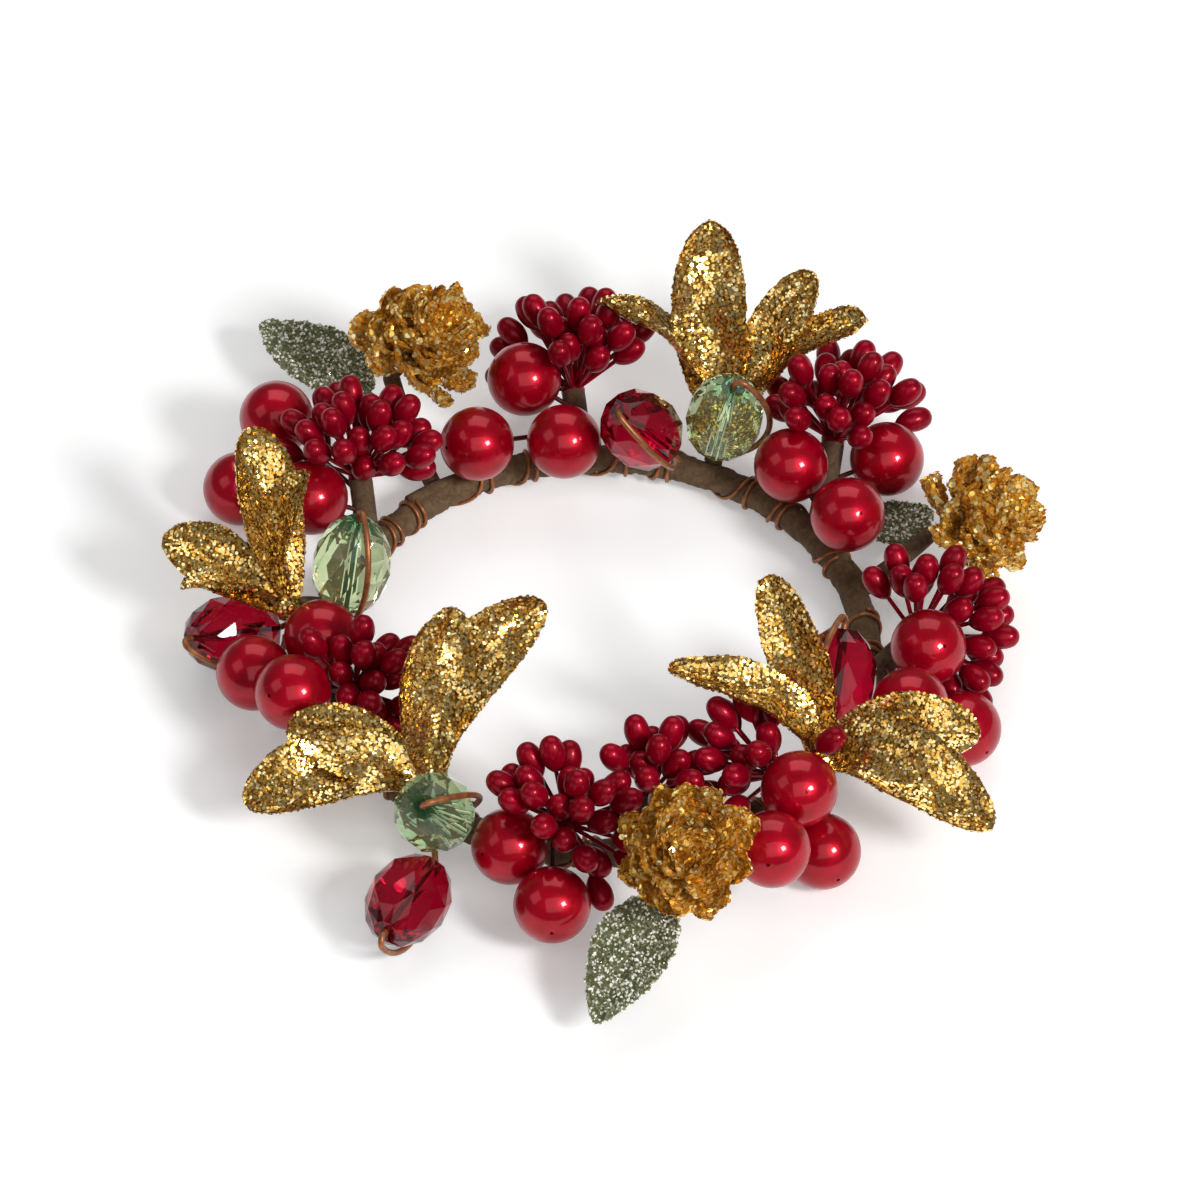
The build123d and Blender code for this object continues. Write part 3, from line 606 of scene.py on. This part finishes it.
def dyed_bore(material, tones, dye, centre, axis):
    """Dye that spreads a little from a bead's bore."""
    coords = node(material, "ShaderNodeTexCoord")
    offset = node(material, "ShaderNodeVectorMath", operation="SUBTRACT")
    offset.inputs[1].default_value = centre
    link(material, coords.outputs["Object"], offset.inputs[0])
    across = node(material, "ShaderNodeVectorMath", operation="CROSS_PRODUCT")
    across.inputs[1].default_value = axis
    link(material, offset.outputs["Vector"], across.inputs[0])
    away = node(material, "ShaderNodeVectorMath", operation="LENGTH")
    link(material, across.outputs["Vector"], away.inputs[0])
    share = node(material, "ShaderNodeMapRange")
    share.inputs["From Min"].default_value = DYE_SPREAD * MM
    share.inputs["From Max"].default_value = DYE_START * MM
    link(material, away.outputs["Value"], share.inputs["Value"])
    mix = node(material, "ShaderNodeMixRGB")
    mix.inputs["Color2"].default_value = (*dye, 1)
    link(material, share.outputs["Result"], mix.inputs["Fac"])
    link(material, tones.outputs["Color"], mix.inputs["Color1"])
    return mix


def clear_bead(name, colour, film, gloss, clarity, centre, axis, dye):
    """Clear faceted bead that lets light through to the floor."""
    material, shader = new_material(name)
    cloud = texture(material, "ShaderNodeTexNoise", 180)
    paler = tuple(min(1.0, c * CLOUD_LIFT) for c in colour)
    tones = ramp(material, cloud.outputs["Fac"], [(0.3, colour), (0.8, paler)])
    mixed = dyed_bore(material, tones, dye, centre, axis)
    link(material, mixed.outputs["Color"], shader.inputs["Base Color"])
    shader.inputs["Roughness"].default_value = 0.03
    shader.inputs["IOR"].default_value = 1.42
    shader.inputs["Specular IOR Level"].default_value = gloss
    shader.inputs["Transmission Weight"].default_value = clarity
    shader.inputs["Thin Film Thickness"].default_value = film
    shader.inputs["Thin Film IOR"].default_value = 1.38
    path = node(material, "ShaderNodeLightPath")
    clear = node(material, "ShaderNodeBsdfTransparent")
    clear.inputs["Color"].default_value = (*[PASSED_LIGHT + PASSED_COLOUR * c for c in colour], 1)
    mix = node(material, "ShaderNodeMixShader")
    output = next(n for n in material.node_tree.nodes if n.type == "OUTPUT_MATERIAL")
    either = node(material, "ShaderNodeMath", operation="MAXIMUM")
    link(material, path.outputs["Is Shadow Ray"], either.inputs[0])
    link(material, path.outputs["Is Diffuse Ray"], either.inputs[1])
    link(material, either.outputs["Value"], mix.inputs["Fac"])
    link(material, shader.outputs["BSDF"], mix.inputs[1])
    link(material, clear.outputs["BSDF"], mix.inputs[2])
    link(material, mix.outputs["Shader"], output.inputs["Surface"])
    return material


def leaf_green():
    material, shader = new_material("leaf_green")
    veins = texture(material, "ShaderNodeTexNoise", 420)
    veins.inputs["Detail"].default_value = 6
    tones = ramp(material, veins.outputs["Fac"], [(0.3, (0.050, 0.060, 0.014)), (0.7, (0.13, 0.145, 0.050))])
    link(material, tones.outputs["Color"], shader.inputs["Base Color"])
    shader.inputs["Roughness"].default_value = 0.7
    bump(material, veins.outputs["Fac"], shader, 0.5, 0.0003)
    return material


def frost():
    """Granules on the leaves: most are clear, and some white."""
    material, shader = new_material("frost_granule")
    island = node(material, "ShaderNodeNewGeometry")
    chance = island.outputs["Random Per Island"]
    tones = ramp(material, chance, [
        (0.0, (0.33, 0.36, 0.15)), (0.45, (0.58, 0.60, 0.34)),
        (0.72, (0.90, 0.89, 0.70)), (0.8, (1.0, 0.99, 0.90)),
    ])
    clear = ramp(material, chance, [(0.70, (0.7, 0.7, 0.7)), (0.78, (0.05, 0.05, 0.05))])
    link(material, tones.outputs["Color"], shader.inputs["Base Color"])
    link(material, clear.outputs["Color"], shader.inputs["Transmission Weight"])
    shader.inputs["Roughness"].default_value = 0.05
    shader.inputs["IOR"].default_value = 1.5
    return material


def white_floor():
    """White floor that keeps its shadows; a little light of its own, which lights nothing, lifts them."""
    material, shader = new_material("floor_white")
    shader.inputs["Base Color"].default_value = (0.9, 0.9, 0.9, 1)
    shader.inputs["Roughness"].default_value = 0.9
    shader.inputs["Specular IOR Level"].default_value = 0.1
    shader.inputs["Emission Color"].default_value = (1, 1, 1, 1)
    path = node(material, "ShaderNodeLightPath")
    seen = node(material, "ShaderNodeMath", operation="MAXIMUM")
    link(material, path.outputs["Is Camera Ray"], seen.inputs[0])
    link(material, path.outputs["Is Transmission Ray"], seen.inputs[1])
    mirrored = node(material, "ShaderNodeMath", operation="MAXIMUM")
    link(material, seen.outputs["Value"], mirrored.inputs[0])
    link(material, path.outputs["Is Glossy Ray"], mirrored.inputs[1])
    lift = node(material, "ShaderNodeMath", operation="MULTIPLY")
    lift.inputs[1].default_value = FLOOR_LIFT
    link(material, mirrored.outputs["Value"], lift.inputs[0])
    link(material, lift.outputs["Value"], shader.inputs["Emission Strength"])
    return material


# Hoop

def wrapped_hoop(material):
    """Paper strip wound along the hoop: a low step at each overlap, and creases that run with the strip."""
    around = 2 * math.pi * HOOP_RADIUS
    turns = round(around / WRAP_PITCH)
    points = np.zeros((WRAP_ROWS, WRAP_COLUMNS, 3))
    for r in range(WRAP_ROWS):
        u = 2 * math.pi * r / WRAP_ROWS
        run = turns * r / WRAP_ROWS
        for c in range(WRAP_COLUMNS):
            v = 2 * math.pi * c / WRAP_COLUMNS
            wound = run + c / WRAP_COLUMNS
            lap = wound % 1.0
            step = LAP_STEP * (0.5 - lap) * min(1.0, lap / LAP_EDGE)
            along = (run - c / WRAP_COLUMNS) * CREASE_ALONG
            place = Vector((lap * CREASE_ACROSS, along, math.floor(wound) * CREASE_SHIFT))
            crease = sum(noise.noise(place * scale) * depth for scale, depth in CREASES)
            radius = min(WRAP_RADIUS - WRAP_SUNK + step + crease, WRAP_RADIUS + WRAP_PROUD)
            reach = HOOP_RADIUS + radius * math.cos(v)
            points[r, c] = (reach * math.cos(u), reach * math.sin(u), HOOP_HEIGHT + radius * math.sin(v))
    build = Build()
    build.add(points.reshape(-1, 3), grid_faces(WRAP_ROWS, WRAP_COLUMNS, True, True))
    for start, end, side in STALK_ENDS:
        lean = math.radians(side)
        line = []
        for k in range(STALK_END_POINTS):
            share = k / (STALK_END_POINTS - 1)
            a = math.radians(start + (end - start) * share)
            away = STALK_END_SUNK + (STALK_END_PROUD - STALK_END_SUNK) * share
            reach = HOOP_RADIUS + away * math.cos(lean)
            line.append((reach * math.cos(a), reach * math.sin(a), HOOP_HEIGHT + away * math.sin(lean)))
        tube(build, line, STALK_END_RADIUS, STALK_END_SIDES)
    piece("hoop_wrap", build, [material], "hoop_paper_wrap")


def winding_point(angle, gap, share):
    """Point on the binding wire, at a share of its turn from one crossing of the top to the next."""
    lag = WINDING_LAG * math.sin(2 * math.pi * share) / (2 * math.pi)
    a = math.radians(angle + gap * (share - lag))
    turn = math.radians(90 + 360 * share)
    reach = HOOP_RADIUS + BINDING_ORBIT * math.cos(turn)
    return np.array((reach * math.cos(a), reach * math.sin(a), HOOP_HEIGHT + BINDING_ORBIT * math.sin(turn)))


def binding_wire(material):
    """The wire goes twice round at each place, then on to the next."""
    feet = BERRY_FEET + [s["foot"] for s in LILIES.values()] + [s["foot"] for s in CONES.values()]
    feet = sorted(foot % 360 for foot in feet)
    angles = []
    for foot, after in zip(feet, feet[1:] + [feet[0] + 360]):
        count = max(1, round((after - foot) / TURN_STEP))
        for step in range(count):
            angle = foot + (after - foot) * (step + 1) / (count + 1)
            angles += [angle - DOUBLE_TURN / 2, angle + DOUBLE_TURN / 2]
    line = []
    for angle, after in zip(angles, angles[1:]):
        for k in range(TURN_POINTS):
            line.append(winding_point(angle, after - angle, k / TURN_POINTS))
    build = Build()
    tube(build, line, BINDING_RADIUS)
    piece("binding_turns", build, [material], "binding_wire")


# Lilies

def petal_rows(lily, number, shares):
    """Centre, side, inward normal and half width of a petal at shares of its length."""
    foot = lily["foot"]
    head = spot(foot, lily["head"])
    tips = [spot(foot, place) - head for place, width, face in lily["petals"]]
    axis = unit(sum(unit(tip) for tip in tips))
    tip = tips[number]
    reach = np.linalg.norm(tip)
    lean = square_to(axis, tip)
    face = heading(foot, lily["petals"][number][2])
    first = head + lean * (PETAL_START_OUT * LILY_COLLAR) + axis * (PETAL_START_UP * LILY_COLLAR)
    bend = head + axis * (PETAL_BEND_UP * reach) + lean * (PETAL_BEND_OUT * reach)
    last = head + tip
    rows = []
    for share in shares:
        point = first * (1 - share) ** 2 + bend * (2 * share * (1 - share)) + last * share ** 2
        run = unit((bend - first) * (1 - share) + (last - bend) * share)
        inward = square_to(run, face)
        side = np.cross(run, inward)
        if share < PETAL_WIDEST:
            swell = PETAL_FOOT + (1 - PETAL_FOOT) * math.sin(math.pi / 2 * share / PETAL_WIDEST)
        else:
            swell = math.sqrt(max(0.0, 1 - ((share - PETAL_WIDEST) / (1 - PETAL_WIDEST)) ** 2))
        rows.append((point, side, inward, swell * lily["petals"][number][1] / 2))
    return rows


def petal_grid(lily, number, rng):
    """Back and front of a petal that is cupped, rippled, buckled and bent back at its tip."""
    shares = [1 - (1 - k / (PETAL_ROWS - 1)) ** PETAL_CROWDING for k in range(PETAL_ROWS)]
    shares[-1] = PETAL_LAST
    across = np.linspace(-1, 1, PETAL_COLUMNS)
    phase = rng.random(3) * PHASE_RANGE
    back = []
    front = []
    for share, (point, side, inward, half) in zip(shares, petal_rows(lily, number, shares)):
        row = []
        for a in across:
            edge_wave = math.sin(EDGE_RIPPLE[1] * a + EDGE_RIPPLE[2] * share + phase[0])
            long_wave = math.sin(LONG_RIPPLE[1] * a + LONG_RIPPLE[2] * share + phase[1])
            ripple = EDGE_RIPPLE[0] * share * edge_wave * abs(a) + LONG_RIPPLE[0] * long_wave * share
            vein = VEIN_DEPTH * share * math.exp(-(a * VEIN_SHARPNESS) ** 2)
            back_bend = PETAL_RECURVE * max(0.0, (share - RECURVE_START) / (1 - RECURVE_START)) ** 2
            lift = half * PETAL_CUP * a * a + ripple - vein - back_bend
            corner = point + side * (half * a)
            buckle = PETAL_BUCKLE * min(1.0, 2 * share) * noise.noise(Vector(corner) / BUCKLE_SIZE)
            row.append(corner + inward * (lift + buckle))
        back.append(row)
        front.append([corner + inward * PETAL_THICKNESS for corner in row])
    return np.array(back), np.array(front)


def web_grid(lily, first, second, joined):
    """The sheet between two petals of one trumpet, up to a round notch."""
    shares = np.linspace(WEB_START, joined, WEB_ROWS)
    one = petal_rows(lily, first, shares)[WEB_MATCH_ROW]
    two = petal_rows(lily, second, shares)[WEB_MATCH_ROW]
    best = min(
        ((a, b) for a in (-1, 1) for b in (-1, 1)),
        key=lambda ab: np.linalg.norm(
            one[0] + one[1] * (one[3] * ab[0]) - two[0] - two[1] * (two[3] * ab[1])
        ),
    )
    across = np.linspace(0, 1, WEB_COLUMNS)
    back = np.zeros((len(shares), len(across), 3))
    front = np.zeros_like(back)
    for c, t in enumerate(across):
        low = 1 - WEB_NOTCH * math.sin(math.pi * t)
        pairs = zip(petal_rows(lily, first, shares * low), petal_rows(lily, second, shares * low))
        for r, (p, q) in enumerate(pairs):
            start = p[0] + p[1] * (p[3] * best[0]) + p[2] * (p[3] * PETAL_CUP)
            end = q[0] + q[1] * (q[3] * best[1]) + q[2] * (q[3] * PETAL_CUP)
            inward = unit(p[2] * (1 - t) + q[2] * t)
            bulge = -WEB_BULGE * np.linalg.norm(end - start) * 4 * t * (1 - t)
            back[r, c] = start * (1 - t) + end * t + inward * bulge
            front[r, c] = back[r, c] + inward * PETAL_THICKNESS
    return back, front


def ball(build, centre, radius):
    verts = []
    for r in range(BALL_ROWS + 1):
        up = math.pi * (r / BALL_ROWS - 0.5)
        for c in range(BALL_COLUMNS):
            turn = 2 * math.pi * c / BALL_COLUMNS
            way = np.array((math.cos(up) * math.cos(turn), math.cos(up) * math.sin(turn), math.sin(up)))
            verts.append(centre + radius * way)
    build.add(verts, grid_faces(BALL_ROWS + 1, BALL_COLUMNS, wrap_columns=True))


def lily_piece(name, lily, materials, seed):
    rng = np.random.default_rng(seed)
    build = Build()
    for number in range(len(lily["petals"])):
        sheet(build, *petal_grid(lily, number, rng))
    for first, second, joined in lily["webs"]:
        sheet(build, *web_grid(lily, first, second, joined))
    ball(build, spot(lily["foot"], lily["head"]), LILY_COLLAR)
    glitter(build, FLAKE_RADIUS, FLAKE_TILT, rng)
    piece("lily_glitter_" + name, build, materials, "lily_" + name, smooth=False)


# Cones

def cone_axes(cone):
    axis = heading(cone["foot"], cone["axis"])
    first = square_to(axis, np.array((0.9, 0.3, 0.1)))
    return spot(cone["foot"], cone["head"]), first, np.cross(axis, first), axis


def cone_scale(build, origin, axes, layer, turn, rng):
    """One rounded scale, thicker and cupped at its tip."""
    rim, rise, place = layer
    width = LOBE_HALF_WIDTH * min(1.0, LOBE_LEAST + LOBE_GROWTH * rim) * rng.uniform(*LOBE_RANGE)
    reach = max(CONE_HUB + SCALE_SHORTEST, rim * rng.uniform(*REACH_RANGE))
    lift = rise * rng.uniform(*RISE_RANGE)
    place += rng.uniform(-TIER_JITTER, TIER_JITTER)
    sway = rng.normal(0, SCALE_SWAY)
    curl = rng.uniform(*CURL_RANGE)
    roll = rng.normal(0, SCALE_ROLL)
    across = np.linspace(-1, 1, SCALE_COLUMNS)
    out = axes[0] * math.cos(turn) + axes[1] * math.sin(turn)
    side = -axes[0] * math.sin(turn) + axes[1] * math.cos(turn)
    back = []
    front = []
    for share in SCALE_SHARES:
        if share < SCALE_WIDEST:
            swell = SCALE_FOOT + (1 - SCALE_FOOT) * math.sin(math.pi / 2 * share / SCALE_WIDEST)
        else:
            swell = math.sqrt(max(0.0, 1 - ((share - SCALE_WIDEST) / SCALE_TIP_RUN) ** 2))
        half = max(SCALE_LEAST, min(width * swell, SCALE_HEEL + SCALE_FAN * reach * share))
        radius = CONE_HUB + (reach - CONE_HUB) * share
        height = CONE_STALK_RADIUS + place + lift * share ** SCALE_BOW + curl * share ** CURL_POWER
        thick = SCALE_THICKNESS * (SCALE_THIN + SCALE_SWELL * share ** 2)
        row = []
        for a in across:
            cup = SCALE_CUP * half * a * a + roll * half * a
            bent = half * a + sway * share * share
            corner = origin + out * (radius - CUP_DRAW * cup) + side * bent + axes[2] * (height + cup)
            crumple = SCALE_CRUMPLE * share * noise.noise(Vector(corner) / CRUMPLE_SIZE)
            row.append(corner + (axes[2] + out * CRUMPLE_LEAN) * crumple)
        back.append(row)
        front.append([corner + axes[2] * thick for corner in row])
    sheet(build, np.array(back), np.array(front))


def cone_piece(name, cone, materials, seed):
    rng = np.random.default_rng(seed)
    origin, first, second, axis = cone_axes(cone)
    build = Build()
    rims, rises, places = zip(*CONE_PROFILE)
    for k in range(CONE_SCALES):
        rim = max(CONE_TOP_RIM, CONE_RIM * math.sqrt(1 - k / CONE_SCALES))
        layer = (rim, np.interp(rim, rims, rises), np.interp(rim, rims, places))
        turn = GOLDEN_ANGLE * k + rng.normal(0, TURN_JITTER)
        cone_scale(build, origin, (first, second, axis), layer, turn, rng)
    heart_place, heart_radius = CONE_HEART
    ball(build, origin + axis * (CONE_STALK_RADIUS + heart_place), heart_radius)
    glitter(build, CONE_FLAKE_RADIUS, CONE_FLAKE_TILT, rng)
    piece("cone_glitter_" + name, build, materials, "cone_" + name, smooth=False)


# Leaves

def stalk_arc(cone, share):
    """Point on the stalk's arc, which leaves the hoop along a given way."""
    start = on_hoop(cone["foot"])
    end = spot(cone["foot"], cone["head"])
    chord = end - start
    way = unit(unit(chord) + np.array((0.0, 0.0, cone["bow"])))
    length = np.linalg.norm(chord)
    normal = square_to(way, chord)
    rise = np.dot(chord, normal)
    radius = length ** 2 / (2 * rise)
    full = 2 * math.asin(min(1.0, length / (2 * radius)))
    turn = full * share
    return start + way * (radius * math.sin(turn)) + normal * (radius * (1 - math.cos(turn)))


def leaf_half_width(share):
    return LEAF_WIDTH / 2 * math.sin(math.pi * share ** 0.8) ** 0.8


def leaf_piece(name, cone, materials, seed):
    rng = np.random.default_rng(seed)
    root = stalk_arc(cone, LEAF_ROOT)
    tip = spot(cone["foot"], cone["leaf"])
    way = unit(tip - root)
    up = square_to(way, np.array((0.0, 0.0, 1.0)))
    side = np.cross(up, way)
    length = cone["blade"]
    origin = tip - way * length
    rows = LEAF_ROWS_PER_TOOTH * LEAF_TEETH
    across = np.linspace(-1, 1, LEAF_COLUMNS)
    back = []
    front = []
    for r in range(rows + 1):
        share = min(1 - LEAF_END, max(LEAF_END, r / rows))
        saw = (share * LEAF_TEETH) % 1.0
        edge = leaf_half_width(share) + LEAF_TOOTH * (1 - saw) * min(1.0, saw / TOOTH_RISE)
        half = max(LEAF_NECK, edge) if share < LEAF_NECK_END else edge
        row = []
        for a in across:
            y = half * a
            z = y * y / (2 * LEAF_CURVE) + MIDRIB_DEPTH * (1 - math.exp(-(y * MIDRIB_SHARPNESS) ** 2))
            vein = math.sin(share * SIDE_VEINS - abs(y) * SIDE_VEIN_SLANT)
            z += SIDE_VEIN_DEPTH * vein * min(1.0, abs(y))
            row.append(origin + way * (length * share) + side * y + up * z)
        back.append(row)
        front.append([corner + up * LEAF_THICKNESS for corner in row])
    build = Build()
    sheet(build, np.array(back), np.array(front))
    place, normal = scatter(build.points(), build.faces, GRAIN_DENSITY, rng)
    inside = origin + way * PETIOLE_INSET + up * PETIOLE_LIFT
    petiole = [root + (inside - root) * k / PETIOLE_STEPS for k in range(PETIOLE_STEPS + 1)]
    tube(build, petiole, PETIOLE_RADIUS)
    corner = np.array([(1, 0, 0), (-1, 0, 0), (0, 1, 0), (0, -1, 0), (0, 0, 1), (0, 0, -1)], float)
    wall = [(0, 2, 4), (2, 1, 4), (1, 3, 4), (3, 0, 4), (2, 0, 5), (1, 2, 5), (3, 1, 5), (0, 3, 5)]
    grain = []
    faces = []
    for number, (p, n) in enumerate(zip(place, normal)):
        turn = np.linalg.qr(rng.normal(0, 1, (3, 3)))[0]
        size = rng.uniform(*GRAIN_SIZES) * rng.uniform(*GRAIN_STRETCH, 3)
        grain.append(p + n * GRAIN_LIFT + (corner * size) @ turn.T)
        faces += [tuple(i + len(corner) * number for i in f) for f in wall]
    build.add(np.vstack(grain), faces, 1)
    piece("leaf_frosted_" + name, build, materials, "leaf_" + name, smooth=False)


# Beads

def bead_lining(name, centre, bore, material):
    """Colour on the wall of a bead's bore."""
    build = Build()
    line = [centre + bore * (LINING_LENGTH * (k / LINING_STEPS - 0.5)) for k in range(LINING_STEPS + 1)]
    tube(build, line, LINING_RADIUS, LINING_SIDES)
    build.faces = build.faces[:-2]
    build.slots = build.slots[:-2]
    piece("lining_" + name, build, [material], body=name)


# Scene

def camera():
    e = math.radians(VIEW_ELEVATION)
    right = Vector((1, 0, 0))
    up = Vector((0, math.sin(e), math.cos(e)))
    toward = Vector((0, -math.cos(e), math.sin(e)))
    shift = right * (AIM_RIGHT / PIXELS_PER_METRE) + up * (AIM_UP / PIXELS_PER_METRE)
    aim = Vector((0, 0, HOOP_HEIGHT * MM)) + shift
    data = bpy.data.cameras.new("camera")
    data.sensor_width = SENSOR
    data.lens = SENSOR * PIXELS_PER_METRE * VIEW_DISTANCE / IMAGE_WIDTH
    data.clip_start = CLIP_START
    data.clip_end = CLIP_END
    made = bpy.data.objects.new("camera", data)
    bpy.context.scene.collection.objects.link(made)
    place = aim + toward * VIEW_DISTANCE
    made.matrix_world = Matrix((
        (right.x, up.x, toward.x, place.x),
        (right.y, up.y, toward.y, place.y),
        (right.z, up.z, toward.z, place.z),
        (0, 0, 0, 1),
    ))
    bpy.context.scene.camera = made


def area_light(name, way, distance, width, height, power):
    data = bpy.data.lights.new(name, "AREA")
    data.shape = "RECTANGLE"
    data.size = width
    data.size_y = height
    data.energy = power
    made = bpy.data.objects.new(name, data)
    bpy.context.scene.collection.objects.link(made)
    way = Vector(way).normalized()
    made.location = way * distance
    made.rotation_mode = "QUATERNION"
    made.rotation_quaternion = way.to_track_quat("Z", "Y")


def world(strength):
    made = bpy.data.worlds.new("studio")
    bpy.context.scene.world = made
    made.use_nodes = True
    made.node_tree.nodes["Background"].inputs["Color"].default_value = (1, 1, 1, 1)
    made.node_tree.nodes["Background"].inputs["Strength"].default_value = strength


def floor(material):
    mesh = bpy.data.meshes.new("floor")
    corners = [(x * FLOOR_HALF, y * FLOOR_HALF, 0) for x, y in ((-1, -1), (1, -1), (1, 1), (-1, 1))]
    mesh.from_pydata(corners, [], [(0, 1, 2, 3)])
    mesh.materials.append(material)
    made = bpy.data.objects.new("floor", mesh)
    bpy.context.scene.collection.objects.link(made)


def dress(frame, prefix, material, smooth=True):
    """Gives a material to every CAD node whose name starts with a prefix."""
    for name, made in frame["nodes"].items():
        if name.startswith(prefix):
            made.data.materials.clear()
            made.data.materials.append(material)
            made.data.polygons.foreach_set("material_index", [0] * len(made.data.polygons))
            if not smooth:
                made.data.polygons.foreach_set("use_smooth", [False] * len(made.data.polygons))


def main():
    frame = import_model()

    berry = lacquer(
        "berry_lacquer", (0.31, 0.0, 0.008), (0.48, 0.0, 0.016), (0.60, 0.04, 0.06),
        metallic=0.45, roughness=0.34, coat=0.5,
    )
    pips = lacquer(
        "pip_lacquer", (0.21, 0.0, 0.008), (0.35, 0.0, 0.016), (0.45, 0.02, 0.04),
        metallic=0.3, roughness=0.34, coat=0.16,
    )
    tape = paper("paper_tape", (0.05, 0.028, 0.012), (0.17, 0.096, 0.044), scale=900)
    wrap = paper("paper_wrap", (0.055, 0.029, 0.011), (0.21, 0.122, 0.056), scale=700)
    copper = wire_metal(
        "copper_wire", (0.20, 0.066, 0.022), (0.42, 0.155, 0.055), metallic=0.5, roughness=0.4,
    )
    red_wire = wire_metal("red_wire", (0.05, 0.005, 0.005), (0.12, 0.01, 0.01), metallic=0.2, roughness=0.4)
    steel = wire_metal("core_wire", (0.2, 0.2, 0.2), (0.4, 0.4, 0.4), metallic=1.0, roughness=0.4)
    pale_gold = [
        gold_sheet("petal_film", (0.12, 0.045, 0.004), (0.42, 0.20, 0.025), metallic=0.8),
        gold_flake("petal_flake", [
            (0.0, (0.45, 0.18, 0.02)), (0.15, (0.90, 0.47, 0.07)),
            (0.5, (1.0, 0.66, 0.18)), (0.92, (1.0, 0.86, 0.46)),
        ], metallic=0.95, smoothest=0.1, roughest=0.3),
    ]
    amber_gold = [
        gold_sheet("cone_film", (0.42, 0.17, 0.008), (0.95, 0.46, 0.045), metallic=0.3),
        gold_flake("cone_flake", [
            (0.0, (0.70, 0.28, 0.012)), (0.2, (1.0, 0.52, 0.05)),
            (0.5, (1.0, 0.70, 0.13)), (0.8, (1.0, 0.93, 0.52)),
        ], metallic=0.64, smoothest=0.12, roughest=0.3),
    ]
    frosted = [leaf_green(), frost()]
    lining = wire_metal("green_lining", (0.0, 0.18, 0.06), (0.01, 0.32, 0.11), metallic=0.3, roughness=0.3)

    dress(frame, "berries_", berry)
    dress(frame, "berry_wires_", red_wire)
    dress(frame, "pip_bunch_", pips)
    dress(frame, "stalk_", tape)
    dress(frame, "lily_stalk_", tape)
    dress(frame, "cone_stalk_", tape)
    dress(frame, "hoop_core_wire", steel)
    dress(frame, "green_bead_wires", copper)
    dress(frame, "red_bead_wires", copper)
    for joint in frame["joints"]:
        bead = joint["child"]
        centre = np.array(joint["pos_m"])
        axis = unit(np.array(joint["axis"]))
        if bead.startswith("green"):
            glass = clear_bead(
                bead + "_clear", GREEN_GLASS, film=320, gloss=0.35, clarity=0.92,
                centre=centre, axis=axis, dye=GREEN_DYE,
            )
            bead_lining(bead, centre / MM, axis, lining)
        else:
            glass = clear_bead(
                bead + "_clear", RED_GLASS, film=0, gloss=0.15, clarity=0.95,
                centre=centre, axis=axis, dye=RED_DYE,
            )
        dress(frame, bead, glass, smooth=False)

    wrapped_hoop(wrap)
    binding_wire(copper)
    for seed, (name, lily) in enumerate(LILIES.items()):
        lily_piece(name, lily, pale_gold, LILY_SEED + seed)
    for seed, (name, cone) in enumerate(CONES.items()):
        cone_piece(name, cone, amber_gold, CONE_SEED + seed)
        leaf_piece(name, cone, frosted, LEAF_SEED + seed)

    floor(white_floor())
    camera()
    world(WORLD_STRENGTH)
    for name, lamp in LAMPS.items():
        area_light(name, *lamp)
    bpy.context.scene.view_settings.view_transform = "Standard"


main()
